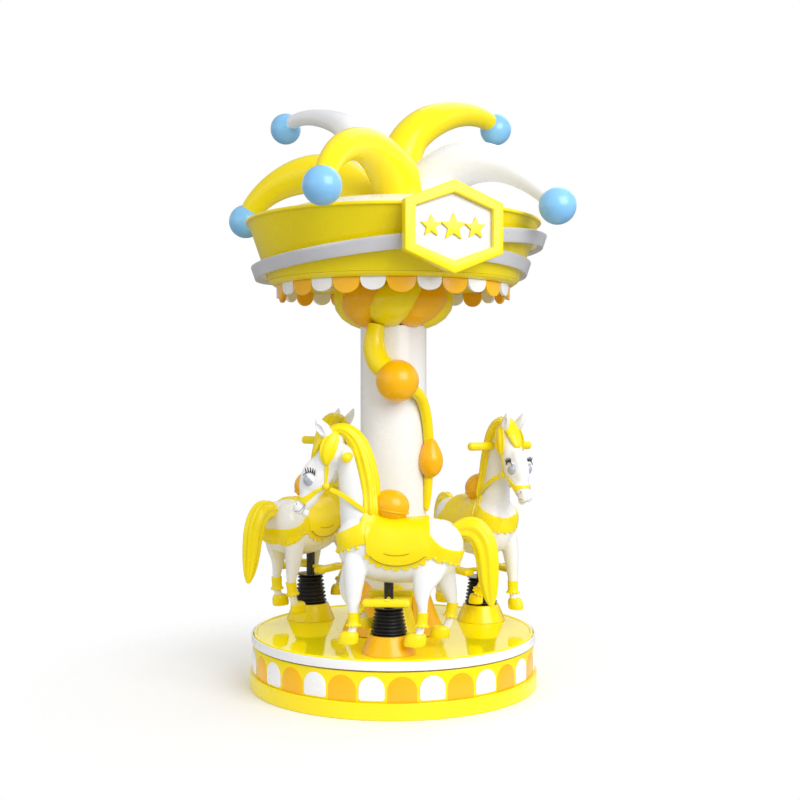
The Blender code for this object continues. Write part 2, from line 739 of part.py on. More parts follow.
MANE = ((0.306, 0.0, 0.784, 0.010, 0.022), (0.292, 0.0, 0.822, 0.017, 0.036),
        (0.262, 0.0, 0.868, 0.020, 0.042), (0.226, 0.0, 0.903, 0.024, 0.042),
        (0.180, 0.0, 0.906, 0.034, 0.044), (0.136, 0.0, 0.862, 0.042, 0.048),
        (0.114, 0.0, 0.790, 0.046, 0.051), (0.094, 0.0, 0.705, 0.042, 0.053),
        (0.086, 0.0, 0.645, 0.036, 0.054), (0.086, 0.0, 0.606, 0.026, 0.042),
        (0.086, 0.0, 0.590, 0.010, 0.016))
TAIL = ((-0.258, 0.0, 0.500, 0.020, 0.018), (-0.300, 0.004, 0.535, 0.032, 0.026),
        (-0.348, 0.008, 0.546, 0.041, 0.033), (-0.390, 0.014, 0.500, 0.043, 0.037),
        (-0.402, 0.020, 0.420, 0.042, 0.036), (-0.402, 0.024, 0.330, 0.039, 0.033),
        (-0.406, 0.028, 0.262, 0.031, 0.026), (-0.412, 0.030, 0.218, 0.018, 0.015),
        (-0.416, 0.031, 0.198, 0.006, 0.005))
# Saddle cloth: place along the back and degrees that it reaches down each flank
CLOTH_LINE = ((0.082, 88.0), (0.055, 106.0), (0.015, 120.0), (-0.032, 126.0), (-0.080, 120.0),
              (-0.122, 108.0), (-0.150, 90.0))
HUMP_X = -0.015
HUMP_HALF = 0.068
HUMP_RISE = 0.100
GRIP_X = 0.160
GRIP_Z = 0.795
GRIP_HALF = 0.166
GRIP_R = 0.019
BORE_TOP = 0.400


def casting(grow=0.0):
    """Horse casting, with the hand-grip bar through the neck; grown, it trims its neighbours."""
    other_ear = tuple((x, -y, z, deep, wide) for x, y, z, deep, wide in EAR)
    body = limb(TORSO, 12, grow)
    pieces = [limb(NECK, 8, grow), limb(HEAD, 8, grow)]
    pieces += [limb(leg, 6, grow) for leg in (FORE_OUTER, FORE_INNER, HIND_OUTER, HIND_INNER)]
    pieces += [limb(EAR, 5, grow), limb(other_ear, 5, grow)]
    pieces.append(rod((GRIP_X, -GRIP_HALF, GRIP_Z), (GRIP_X, GRIP_HALF, GRIP_Z), GRIP_R + grow, 8))
    return combine(body, pieces, "UNION")


def bored_casting():
    """Horse casting with the blind hole for its pole."""
    bore = cylinder(POLE_R + FIT, 0.1, BORE_TOP, POLE_STEPS)
    return largest_body(combine(casting(), (bore,), "DIFFERENCE"))


def torso_at(x):
    """Height, half depth and half width of the torso at a distance forward."""
    for ahead, behind in zip(TORSO, TORSO[1:]):
        if behind[0] <= x <= ahead[0]:
            part = (ahead[0] - x) / (ahead[0] - behind[0])
            return tuple(ahead[axis] + (behind[axis] - ahead[axis]) * part for axis in (2, 3, 4))
    return TORSO[-1][2:]


def saddle(trim):
    """Seat hump and its cloth, wrapped over the back."""
    cloth = 0.010
    fan = 5
    rings = []
    for x, spread in CLOTH_LINE:
        middle, deep, wide = torso_at(x)
        hump_part = max(0.0, 1.0 - ((x - HUMP_X) / HUMP_HALF) ** 2)
        outer = []
        inner = []
        for index in range(2 * fan + 1):
            angle = radians(spread) * (index / fan - 1.0)
            rise = HUMP_RISE * sqrt(hump_part) * max(0.0, cos(angle)) ** 4
            skin = 0.0
            if abs(index - fan) < fan:
                skin = cloth
            outer.append(Vector((x, sin(angle) * (wide + skin), middle + cos(angle) * (deep + skin) + rise)))
            inner.append(Vector((x, sin(angle) * (wide - 0.006), middle + cos(angle) * (deep - 0.006))))
        rings.append(outer + inner[::-1])
    return largest_body(combine(loft(rings), (trim,), "DIFFERENCE"))


def pole():
    """Pole with its collar and the footrest on its cross tube."""
    shaft = cylinder(POLE_R, POLE_FOOT_Z, BORE_TOP - FIT, POLE_STEPS)
    collar = cylinder(BELLOWS_R_TOP + 0.002, COLLAR_Z, COLLAR_Z + 0.006, 14)
    cross = rod((0.0, -FOOTREST_Y, FOOTREST_Z), (0.0, FOOTREST_Y, FOOTREST_Z), 0.009, 8)
    pieces = [collar, cross]
    steps = 12
    for side in (-1.0, 1.0):
        outline = []
        for index in range(steps):
            angle = tau * (index + 0.5) / steps
            end = FOOTREST_HALF if cos(angle) > 0.0 else -FOOTREST_HALF
            along = end + FOOTREST_R * cos(angle)
            outline.append(Vector((along, side * FOOTREST_Y + FOOTREST_R * sin(angle), 0.0)))
        levels = (FOOTREST_Z - FOOTREST_T / 2.0, FOOTREST_Z + FOOTREST_T / 2.0)
        pieces.append(loft([[point + UP * z for point in outline] for z in levels]))
    return largest_body(combine(shaft, pieces, "UNION"))


def seat_frame(name, azimuth, lift):
    """Empty on a pole's axis, its x towards the travel and its y away from the column."""
    holder = bpy.data.objects.new(name, None)
    holder.location = azimuth_point(azimuth, SEAT_CIRCLE, DECK_TOP + lift)
    holder.rotation_euler = (0.0, 0.0, pi + radians(azimuth))
    return holder


def build_base(group):
    """Fixed base."""
    place("base_skirt", skirt(), "yellow", group)
    place("arch_drum", drum(), "yellow", group)
    place("floor_plate", floor_plate(), "steel_plate", group)


def build_turning(group):
    """Deck, seat stations and column."""
    place("rim_band", rim_band(), "white", group)
    place("deck", deck(), "yellow", group)
    cone = pedestal()
    for name, azimuth, lift in SEATS:
        spot = seat_frame(f"station_{name}", azimuth, 0.0)
        group.objects.link(spot)
        place(f"pedestal_{name}", cone.copy(), "yellow", group, spot)
        place(f"bellows_{name}", bellows(lift), "black_rubber", group, spot)
    place("column_foot", column_foot(), "orange", group)
    place("column", column(), "white", group)
    place("capital", capital(), "orange", group)
    place("column_vine", vine(), "orange", group)


def build_canopy(group):
    """Jester-hat canopy."""
    place("hat_soffit", soffit(), "yellow", group)
    place("valance", valance(), "orange", group)
    place("hat_ring", hat_ring(), "yellow", group)
    place("ribbon_closed", closed_ribbon(), "silver_white", group)
    place("ribbon_half", half_ribbon(), "silver_white", group)
    place("badge_frame", badge_frame(), "yellow", group)
    place("badge_panel", badge_panel(), "white", group)
    place("crown", crown(), "white", group)
    order = sorted(HORNS, key=lambda entry: entry[1])
    for index, (name, azimuth, spot, kind, colour) in enumerate(order):
        before = order[index - 1][1]
        after = order[(index + 1) % len(order)][1]
        low_turn = (azimuth + before - (360.0 if before > azimuth else 0.0)) / 2.0
        high_turn = (azimuth + after + (360.0 if after < azimuth else 0.0)) / 2.0
        centre = azimuth_point(azimuth, *spot)
        globe = ball(centre, BALL_R, 8, 12)
        whole = horn(azimuth, HORN_LINES[kind], low_turn, high_turn)
        trimmed = combine(whole, (ball(centre, BALL_R + FIT, 8, 12),), "DIFFERENCE")
        place(name, largest_body(trimmed), colour, group)
        place(name.replace("horn", "ball"), globe, "sky_blue", group)


def build_horses(group):
    """Three horses, each under an empty on its pole's axis."""
    trim = casting(FIT * 1.5)
    body = bored_casting()
    seat = saddle(trim)
    hair = largest_body(combine(limb(MANE, 6), (trim,), "DIFFERENCE"))
    plume = largest_body(combine(limb(TAIL, 7), (trim,), "DIFFERENCE"))
    for name, azimuth, lift in SEATS:
        holder = seat_frame(f"seat_{name}", azimuth, lift)
        group.objects.link(holder)
        place(f"pole_{name}", pole(), "black_steel", group, holder)
        place(f"horse_{name}", body.copy(), "white", group, holder)
        place(f"saddle_{name}", seat.copy(), "orange", group, holder)
        place(f"mane_{name}", hair.copy(), "yellow", group, holder)
        place(f"tail_{name}", plume.copy(), "yellow", group, holder)


def main():
    """Build the carousel."""
    clear_scene()
    group = new_collection("carousel")
    build_base(group)
    build_turning(group)
    build_canopy(group)
    build_horses(group)


main()
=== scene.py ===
"""Dresses the carousel: gloss-painted fibreglass, horses with their tack, and a jester hat on top.

Metres, +Z up, the ride's axis on Z. An azimuth is in degrees from -Y towards +X.
"""

from math import atan2, cos, degrees, pi, radians, sin, sqrt, tau

import bpy
from mathutils import Matrix, Vector


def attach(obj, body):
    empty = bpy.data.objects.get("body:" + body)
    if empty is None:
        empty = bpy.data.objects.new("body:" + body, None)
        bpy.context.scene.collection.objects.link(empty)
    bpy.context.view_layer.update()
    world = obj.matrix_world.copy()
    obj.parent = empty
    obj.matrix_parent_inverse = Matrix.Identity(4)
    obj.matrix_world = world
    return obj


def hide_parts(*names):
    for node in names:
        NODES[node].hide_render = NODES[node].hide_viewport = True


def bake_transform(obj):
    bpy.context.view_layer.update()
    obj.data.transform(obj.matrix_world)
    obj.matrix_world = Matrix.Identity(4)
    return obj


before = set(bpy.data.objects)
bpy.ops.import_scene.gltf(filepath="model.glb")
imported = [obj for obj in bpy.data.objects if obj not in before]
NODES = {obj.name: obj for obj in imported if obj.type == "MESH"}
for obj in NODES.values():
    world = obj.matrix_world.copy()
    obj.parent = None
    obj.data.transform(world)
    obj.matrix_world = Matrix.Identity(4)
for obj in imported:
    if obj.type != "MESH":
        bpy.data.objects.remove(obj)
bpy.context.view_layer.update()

# Sizes shared with the solids
DECK_TOP = 0.2325
ARCH_R = 0.6181
SEAT_CIRCLE = 0.456
COLUMN_R = 0.146
RING_LOW = (0.5516, 1.769)
RING_HIGH = (0.6375, 2.019)
RIBBON_TALL = 0.055
RIBBON_PROUD = 0.0275
VALANCE_R = 0.5126
BADGE_AZ = 22.8
BADGE_Z = 1.930
SEATS = {"front": (0.0, 0.000), "right": (120.0, 0.015), "left": (-120.0, 0.025)}

# The photograph's viewpoint
VIEW_AZ = 2.4
VIEW_R = 5.1875
VIEW_Z = 1.3025
LENS_MM = 52.65
FOCAL_PX = 1170.0
AIM_RIGHT = 6.5 / FOCAL_PX
AIM_DOWN = 12.0 / FOCAL_PX

# Depth to which the back of a wrapped piece is sunk into its form
SUNK = 0.0025

# Strength of the soft light from below and from above
SKY_LOW = 0.43
SKY_HIGH = 0.84


def point(azimuth, radius, z):
    """Return the point at an azimuth in degrees, a radius from the axis and a height."""
    turn = radians(azimuth)
    return Vector((radius * sin(turn), -radius * cos(turn), z))


def metres(table):
    """Rows of millimetres as metres."""
    return tuple(metres(item) if isinstance(item, tuple) else item / 1000.0 for item in table)


# Paint


class Value:
    """A node's output that takes part in sums, so that a pattern reads as plain maths."""

    def __init__(self, paint, socket):
        self.paint = paint
        self.socket = socket

    def maths(self, operation, left, right):
        return self.paint.node("ShaderNodeMath", {"operation": operation}, {0: left, 1: right})

    def __add__(self, other):
        return self.maths("ADD", self, other)

    def __radd__(self, other):
        return self.maths("ADD", other, self)

    def __sub__(self, other):
        return self.maths("SUBTRACT", self, other)

    def __rsub__(self, other):
        return self.maths("SUBTRACT", other, self)

    def __mul__(self, other):
        return self.maths("MULTIPLY", self, other)

    def __rmul__(self, other):
        return self.maths("MULTIPLY", other, self)

    def between(self, low, high):
        """0 below low, 1 above high and smooth between."""
        return self.paint.node("ShaderNodeMapRange", {"interpolation_type": "SMOOTHSTEP"},
                               {"Value": self, "From Min": low, "From Max": high})


class Tree:
    """Nodes of a material or of the world."""

    def __init__(self, tree):
        self.nodes, self.links = tree.nodes, tree.links

    def node(self, kind, settings=None, inputs=None, output=0):
        """Add a node with its settings and the values or links of its sockets."""
        made = self.nodes.new(kind)
        for key, value in (settings or {}).items():
            setattr(made, key, value)
        for key, value in (inputs or {}).items():
            self.feed(made.inputs[key], value)
        return Value(self, made.outputs[output])

    def feed(self, socket, value):
        """Link a value to a socket, or set it."""
        if isinstance(value, Value):
            self.links.new(value.socket, socket)
        elif isinstance(value, tuple) and len(value) == 3 and socket.type == "RGBA":
            socket.default_value = (*value, 1.0)
        else:
            socket.default_value = value


class Paint(Tree):
    """A material's nodes round its Principled shader."""

    def __init__(self, name, **constants):
        self.material = bpy.data.materials.new(name)
        self.material.use_nodes = True
        super().__init__(self.material.node_tree)
        self.shader = self.nodes["Principled BSDF"]
        for socket, value in constants.items():
            self.shader.inputs[socket.replace("_", " ")].default_value = value

    def place(self):
        """Position on the piece, in metres."""
        return self.node("ShaderNodeTexCoord", output="Object")

    def noise(self, scale, detail=2.0, roughness=0.5):
        """Cloudy pattern between 0 and 1, scale in spots a metre."""
        return self.node("ShaderNodeTexNoise",
                         inputs={"Vector": self.place(), "Scale": scale, "Detail": detail, "Roughness": roughness})

    def pattern(self, scale, detail, roughness=0.5, low=None, high=None):
        """Noise, drawn out to patches between two of its levels where they are given."""
        noise = self.noise(scale, detail, roughness)
        return noise if low is None else noise.between(low, high)

    def blend(self, factor, one, other):
        """One colour where the factor is 0, the other where it is 1."""
        return self.node("ShaderNodeMix", {"data_type": "RGBA"}, {0: factor, 6: one, 7: other}, 2)

    def colour(self, value):
        self.feed(self.shader.inputs["Base Color"], value)

    def rough(self, value):
        self.feed(self.shader.inputs["Roughness"], value)

    def relief(self, height, depth):
        """Bump of a height pattern, depth in metres."""
        bump = self.node("ShaderNodeBump", inputs={"Height": height, "Distance": depth, "Strength": 1.0})
        self.feed(self.shader.inputs["Normal"], bump)


def gloss(name, colour, shade):
    """Sprayed gloss paint on fibreglass: a slow drift of tone, handling smears and orange peel."""
    paint = Paint(name, Coat_Weight=0.22, Coat_Roughness=0.12, Coat_IOR=1.5, Specular_IOR_Level=0.35)
    speck = paint.pattern(55.0, 4.0, 0.6, 0.55, 0.85)
    paint.colour(paint.blend(speck * 0.12, paint.blend(paint.pattern(2.6, 3.0, 0.5, 0.25, 0.8), colour, shade), shade))
    paint.rough(paint.pattern(11.0, 4.0, 0.65, 0.35, 0.8) * 0.10 + 0.27)
    peel = paint.noise(190.0, 1.0) * 0.7 + paint.noise(24.0, 1.0) * 0.3
    paint.relief(peel, 0.00045)
    return paint.material


def enamel(name, tone, colours, wear, spread, rough, grain=None, **constants):
    """Paint whose tone, roughness and fine relief each follow a pattern of their own.

    Tone and wear are patterns, spread is what wear adds to rough, and grain is (scale, detail, depth).
    """
    paint = Paint(name, **constants)
    paint.colour(paint.blend(paint.pattern(*tone), *colours))
    paint.rough(paint.pattern(*wear) * spread + rough)
    if grain:
        scale, detail, depth = grain
        paint.relief(paint.noise(scale, detail), depth)
    return paint.material


YELLOW = gloss("yellow_gloss", (0.95, 0.77, 0.001), (0.92, 0.72, 0.001))
ORANGE = gloss("orange_gloss", (0.94, 0.50, 0.001), (0.92, 0.45, 0.001))
WHITE = gloss("white_gloss", (0.88, 0.88, 0.89), (0.83, 0.84, 0.86))
# Dark olive paint of the saddle piping: painted shade, the shadow of the grooves along the cloth's edge and its inner
# line
PIPING_SHADE_PAINT = gloss("piping_shade_paint", (0.42, 0.30, 0.002), (0.36, 0.25, 0.002))
# Silver-white paint of the ribbons
SILVER = enamel("silver_pearl", (4.0, 3.0, 0.5, 0.3, 0.75), ((0.72, 0.72, 0.75), (0.64, 0.64, 0.68)),
                (16.0, 4.0), 0.12, 0.24, (260.0, 1.0, 0.0003),
                Metallic=0.25, Coat_Weight=0.5, Coat_Roughness=0.1)
# Sky-blue gloss of the balls
BLUE = enamel("sky_gloss", (9.0, 3.0, 0.5, 0.3, 0.8), ((0.22, 0.52, 0.86), (0.25, 0.57, 0.86)),
              (18.0, 4.0), 0.10, 0.26, (210.0, 1.0, 0.0003), Coat_Weight=0.3, Coat_Roughness=0.10)
# Deck paint, polished until it mirrors what stands on it, and scuffed
MIRROR = enamel("deck_mirror", (2.2, 3.0, 0.5, 0.3, 0.8), ((0.99, 0.86, 0.002), (0.97, 0.82, 0.002)),
                (34.0, 6.0, 0.7, 0.60, 0.82), 0.10, 0.07, (6.0, 2.0, 0.0006),
                Coat_Weight=0.55, Coat_Roughness=0.010, Coat_IOR=1.5, Specular_IOR_Level=0.1)
# Moulded rubber with a dusty bloom
BLOOM = (40.0, 5.0, 0.65, 0.45, 0.85)
RUBBER = enamel("black_rubber", BLOOM, ((0.008, 0.008, 0.009), (0.026, 0.025, 0.024)),
                BLOOM, 0.18, 0.36, (700.0, 2.0, 0.0003), Specular_IOR_Level=0.4)
# Black stove enamel on steel tube; its brown patches are a painted reflection of the yellow round it, and its roughness
# varies in patches
BROWN_SHEEN_AND_RUB = (26.0, 5.0, 0.6, 0.5, 0.85)
STEEL = enamel("black_enamel", BROWN_SHEEN_AND_RUB, ((0.012, 0.011, 0.011), (0.050, 0.030, 0.020)),
               BROWN_SHEEN_AND_RUB, 0.15, 0.22, (500.0, 2.0, 0.0002), Coat_Weight=0.5, Coat_Roughness=0.12)
# Grey primer on the hidden floor plate
STAIN = (9.0, 6.0, 0.65, 0.4, 0.75)
PLATE = enamel("plate_grey", STAIN, ((0.42, 0.43, 0.44), (0.28, 0.27, 0.26)),
               STAIN, 0.25, 0.40, (120.0, 4.0, 0.0004), Metallic=0.4)
# Painted black line, blue-grey enamel of the iris, and grey line that is painted shade in the creases of the muzzle
LASH = enamel("lash_black", (60.0, 2.0), ((0.006, 0.006, 0.007), (0.014, 0.014, 0.016)),
              (90.0, 2.0), 0.1, 0.25, Coat_Weight=0.3)
IRIS = enamel("eye_grey", (30.0, 3.0), ((0.36, 0.40, 0.46), (0.44, 0.48, 0.53)),
              (40.0, 2.0), 0.05, 0.10, Coat_Weight=1.0, Coat_Roughness=0.03)
CREASE_SHADE_PAINT = enamel("crease_shade_paint", (60.0, 2.0), ((0.20, 0.20, 0.22), (0.27, 0.27, 0.29)),
                (90.0, 2.0), 0.1, 0.35, Coat_Weight=0.2)

PAINTS = {"yellow": YELLOW, "orange": ORANGE, "white": WHITE, "silver": SILVER, "sky_blue": BLUE,
          "rubber": RUBBER, "black_steel": STEEL}
# Own paints of single pieces; the crease and piping paints are painted shade
OWN_PAINTS = {"eyes": IRIS, "eyelashes": LASH, "muzzle_shade_lines": CREASE_SHADE_PAINT, "saddle_shade_piping": PIPING_SHADE_PAINT}


# Tools of the model shop


def pick(*shapes):
    """Select these objects alone, the first of them active."""
    bpy.ops.object.select_all(action="DESELECT")
    for shape in shapes:
        shape.select_set(True)
    bpy.context.view_layer.objects.active = shapes[0]


def modify(shape, kind, **settings):
    """Add a modifier with these settings and apply it."""
    added = shape.modifiers.new("work", kind)
    for key, value in settings.items():
        setattr(added, key, value)
    pick(shape)
    bpy.ops.object.modifier_apply(modifier=added.name)
    return shape


def eased(shape, width, segments=2, angle=50.0):
    """Round the edges that are sharper than an angle in degrees."""
    return modify(shape, "BEVEL", width=width, segments=segments, limit_method="ANGLE",
                  angle_limit=radians(angle))


def into_edit(shape):
    """Open a shape in edit mode with all of it selected."""
    pick(shape)
    bpy.ops.object.mode_set(mode="EDIT")
    bpy.ops.mesh.select_all(action="SELECT")


def out_of_edit():
    """Close edit mode with doubles merged and faces turned outwards."""
    bpy.ops.mesh.select_all(action="SELECT")
    bpy.ops.mesh.remove_doubles(threshold=0.00001)
    bpy.ops.mesh.normals_make_consistent(inside=False)
    bpy.ops.object.mode_set(mode="OBJECT")
    return bpy.context.object


def turned(profile, steps=128, closed=False):
    """Draw a circle out ring by ring through (radius, height) pairs, capped unless it closes."""
    bpy.ops.object.select_all(action="DESELECT")
    radius, height = profile[0]
    fill = "NOTHING" if closed else "NGON"
    bpy.ops.mesh.primitive_circle_add(vertices=steps, radius=radius, fill_type=fill, enter_editmode=True,
                                      location=(0.0, 0.0, height))
    for next_radius, next_height in profile[1:]:
        grow = next_radius / radius
        bpy.ops.mesh.extrude_region_move(TRANSFORM_OT_translate={"value": (0.0, 0.0, next_height - height)})
        bpy.ops.transform.resize(value=(grow, grow, 1.0), center_override=(0.0, 0.0, next_height))
        radius, height = next_radius, next_height
    if closed:
        bpy.ops.mesh.select_all(action="SELECT")
        bpy.ops.mesh.region_to_loop()
        bpy.ops.mesh.bridge_edge_loops()
    return out_of_edit()


def tube(stations, sides, levels=2, lean=1.0):
    """Draw a circle out through stations (x, y, z, half depth, half width), leaning in the XZ plane."""
    spots = [Vector(station[:3]) for station in stations]
    leans = []
    for index in range(len(spots)):
        run = spots[min(index + 1, len(spots) - 1)] - spots[max(index - 1, 0)]
        leans.append(atan2(run.x, run.z) * lean)
    bpy.ops.object.select_all(action="DESELECT")
    bpy.ops.mesh.primitive_circle_add(vertices=sides, radius=1.0, fill_type="NGON", enter_editmode=True)
    bpy.ops.transform.resize(value=(stations[0][3], stations[0][4], 1.0), center_override=(0.0, 0.0, 0.0))
    bpy.ops.transform.rotate(value=-leans[0], orient_axis="Y", center_override=(0.0, 0.0, 0.0))
    bpy.ops.transform.translate(value=spots[0])
    for index in range(1, len(stations)):
        spot = spots[index]
        deep = stations[index][3] / stations[index - 1][3]
        wide = stations[index][4] / stations[index - 1][4]
        bpy.ops.mesh.extrude_region_move(TRANSFORM_OT_translate={"value": spot - spots[index - 1]})
        bpy.ops.transform.rotate(value=leans[index - 1], orient_axis="Y", center_override=spot)
        bpy.ops.transform.resize(value=(deep, wide, 1.0), center_override=spot)
        bpy.ops.transform.rotate(value=-leans[index], orient_axis="Y", center_override=spot)
    shape = out_of_edit()
    if levels:
        modify(shape, "SUBSURF", levels=levels, render_levels=levels)
    return shape


def egg(centre, half, lean=0.0, columns=24, rows=14):
    """Round form with half sizes along its own axes, leaning in the XZ plane."""
    bpy.ops.object.select_all(action="DESELECT")
    bpy.ops.mesh.primitive_uv_sphere_add(segments=columns, ring_count=rows, radius=1.0, enter_editmode=True)
    bpy.ops.transform.resize(value=half, center_override=(0.0, 0.0, 0.0))
    bpy.ops.transform.rotate(value=-radians(lean), orient_axis="Y", center_override=(0.0, 0.0, 0.0))
    bpy.ops.transform.translate(value=centre)
    return out_of_edit()


def fused(parts, voxel, rounds):
    """Join forms into one moulding with soft hollows where they meet."""
    pick(*parts)
    bpy.ops.object.join()
    shape = bpy.context.object
    modify(shape, "REMESH", mode="VOXEL", voxel_size=voxel)
    return modify(shape, "SMOOTH", factor=0.5, iterations=rounds)


def joined(parts):
    """Join shapes into one object as they are."""
    pick(*parts)
    if len(parts) > 1:
        bpy.ops.object.join()
    return bpy.context.object


def cut(shape, tool):
    """Cut one shape with another, and throw the tool away."""
    modify(shape, "BOOLEAN", object=tool, operation="DIFFERENCE", solver="EXACT")
    bpy.data.objects.remove(tool, do_unlink=True)
    return shape


def copy_of(shape, matrix):
    """Copy of a shape with its own mesh, moved."""
    twin = shape.copy()
    twin.data = shape.data.copy()
    bpy.context.scene.collection.objects.link(twin)
    twin.data.transform(matrix)
    return twin


def ring_of(shape, count, first):
    """Copies of a shape round the axis, joined, with the first turned by an azimuth."""
    copies = []
    for index in range(count):
        copies.append(copy_of(shape, Matrix.Rotation(radians(first + index * 360.0 / count), 4, "Z")))
    bpy.data.objects.remove(shape, do_unlink=True)
    return joined(copies)


def finish(shape, name, body, slot, nodes=(), sharp=35.0, paint=None):
    """Name a shape, paint it, and let it ride on its body in place of the solids it stands for."""
    shape.name = name
    shape.data.name = name
    pick(shape)
    bpy.ops.object.transform_apply(location=True, rotation=True, scale=True)
    shape.data.materials.clear()
    shape.data.materials.append(paint or PAINTS[slot])
    bpy.ops.object.shade_smooth_by_angle(angle=radians(sharp))
    if nodes:
        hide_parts(*nodes)
    if body:
        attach(shape, body)
    return shape


def lathe(name, body, slot, node, profile, steps=128, edge=None, sharp=35.0, closed=False):
    """Turned piece with its edges eased, in place of a solid."""
    shape = turned(profile, steps, closed)
    if edge:
        eased(shape, *edge)
    finish(shape, name, body, slot, (node,), sharp)


def repaint(node, paint):
    """Paint a solid that shows as it is."""
    NODES[node].data.materials.clear()
    NODES[node].data.materials.append(paint)


def sheet(columns, rows, lay):
    """Grid whose points are laid by a rule of (along, across), each from -1 to 1."""
    bpy.ops.object.select_all(action="DESELECT")
    bpy.ops.mesh.primitive_grid_add(x_subdivisions=columns, y_subdivisions=rows, size=2.0)
    shape = bpy.context.object
    for vert in shape.data.vertices:
        vert.co = lay(vert.co.x, vert.co.y)
    return shape


def wrapped(shape, onto, lift, thick):
    """Draw a sheet down onto a form and give it thickness, its back sunk a little into the form."""
    modify(shape, "SHRINKWRAP", target=onto, wrap_method="NEAREST_SURFACEPOINT",
           wrap_mode="OUTSIDE_SURFACE", offset=lift + thick)
    modify(shape, "SMOOTH", factor=0.5, iterations=2)
    modify(shape, "SHRINKWRAP", target=onto, wrap_method="NEAREST_SURFACEPOINT",
           wrap_mode="OUTSIDE", offset=lift + thick)
    facing = 0.0
    for face in list(shape.data.polygons)[::7]:
        _, spot, _, _ = onto.closest_point_on_mesh(face.center)
        facing += face.normal.dot(face.center - spot)
    return modify(shape, "SOLIDIFY", thickness=thick + lift + SUNK, offset=-1.0 if facing > 0.0 else 1.0)


def spline(before, start, end, after, part):
    """Smooth value between start and end."""
    slope_in = (end - before) / 2.0
    slope_out = (after - start) / 2.0
    cube = part ** 3
    square = part ** 2
    return (start * (2.0 * cube - 3.0 * square + 1.0) + slope_in * (cube - 2.0 * square + part)
            + end * (3.0 * square - 2.0 * cube) + slope_out * (cube - square))


def on_line(rows, index, part):
    """Row of smooth values, part of the way from one row of a line to the next."""
    before, after = rows[max(index - 1, 0)], rows[min(index + 2, len(rows) - 1)]
    return [spline(*values, part) for values in zip(before, rows[index], rows[index + 1], after)]


def stretch(along, rows):
    """Index of the stretch between two rows and the share of it, where along runs from -1 to 1."""
    place = (along + 1.0) / 2.0 * (len(rows) - 1)
    index = min(int(place), len(rows) - 2)
    return index, place - index


# Studio


def sky():
    """Soft light from all round, a striped sky for gloss to mirror, and white behind the ride."""
    world = bpy.data.worlds.new("studio")
    bpy.context.scene.world = world
    world.use_nodes = True
    tree = Tree(world.node_tree)
    tree.nodes.remove(tree.nodes["Background"])
    heading = tree.node("ShaderNodeTexCoord", output="Generated")
    up = tree.node("ShaderNodeSeparateXYZ", inputs={0: heading}, output="Z")
    climb = tree.node("ShaderNodeMapRange", inputs={"Value": up, "From Min": -0.35, "From Max": 0.80,
                                                    "To Min": SKY_LOW, "To Max": SKY_HIGH})
    height = tree.node("ShaderNodeMapRange", inputs={"Value": up, "From Min": -1.0})
    strip = tree.node("ShaderNodeValToRGB", inputs={0: height})
    stops = strip.socket.node.color_ramp.elements
    for place in (0.62, 0.75):
        stops.new(place)
    for stop, (place, level) in zip(stops, ((0.52, 0.28), (0.58, 0.80), (0.64, 0.80), (0.75, 0.34))):
        stop.position = place
        stop.color = (level, level, level, 1.0)
    light = None
    for strength, ray in ((climb, None), (strip, "Is Glossy Ray"), (1.0, "Is Camera Ray")):
        glow = tree.node("ShaderNodeBackground", inputs={"Color": (1.0, 1.0, 1.0), "Strength": strength})
        if ray:
            seen = tree.node("ShaderNodeLightPath", output=ray)
            glow = tree.node("ShaderNodeMixShader", inputs={0: seen, 1: light, 2: glow})
        light = glow
    tree.feed(tree.nodes["World Output"].inputs["Surface"], light)


def studio():
    """Pale floor, soft lights and the camera of the photograph."""
    bpy.ops.object.select_all(action="DESELECT")
    bpy.ops.mesh.primitive_circle_add(vertices=96, radius=2.6, fill_type="NGON", location=(0.0, 0.0, 0.0))
    floor = bpy.context.object
    floor.name = "studio_floor"
    paper = Paint("floor_paper")
    paper.colour(paper.blend(paper.noise(0.8), (0.90, 0.90, 0.90), (0.88, 0.88, 0.88)))
    paper.rough(paper.noise(3.0) * 0.1 + 0.7)
    reach = paper.node("ShaderNodeVectorMath", {"operation": "LENGTH"}, {0: paper.place()}, "Value")
    paper.feed(paper.shader.inputs["Alpha"], 1.0 - reach.between(0.70, 1.9))
    floor.data.materials.append(paper.material)

    sky()
    for name, azimuth, radius, height, size, power in (
            ("key", 34.0, 5.0, 3.8, 4.0, 250.0),
            ("fill", -55.0, 5.2, 2.4, 4.0, 30.0),
            ("back", 150.0, 3.6, 5.2, 3.6, 55.0)):
        lamp = bpy.data.lights.new(name, "AREA")
        lamp.size = size
        lamp.energy = power
        holder = bpy.data.objects.new(name, lamp)
        holder.location = point(VIEW_AZ + azimuth, radius, height)
        aim = Vector((0.0, 0.0, 1.2)) - holder.location
        holder.rotation_euler = aim.to_track_quat("-Z", "Y").to_euler()
        bpy.context.scene.collection.objects.link(holder)

    lens = bpy.data.cameras.new("view")
    lens.lens = LENS_MM
    lens.sensor_width = 36.0
    camera = bpy.data.objects.new("view", lens)
    camera.location = point(VIEW_AZ, VIEW_R, VIEW_Z)
    inward = -point(VIEW_AZ, 1.0, 0.0)
    right = inward.cross(Vector((0.0, 0.0, 1.0)))
    aim = inward + right * AIM_RIGHT - Vector((0.0, 0.0, 1.0)) * AIM_DOWN
    camera.rotation_euler = aim.to_track_quat("-Z", "Y").to_euler()
    bpy.context.scene.collection.objects.link(camera)
    bpy.context.scene.camera = camera
    bpy.context.scene.view_settings.view_transform = "Standard"


# Base


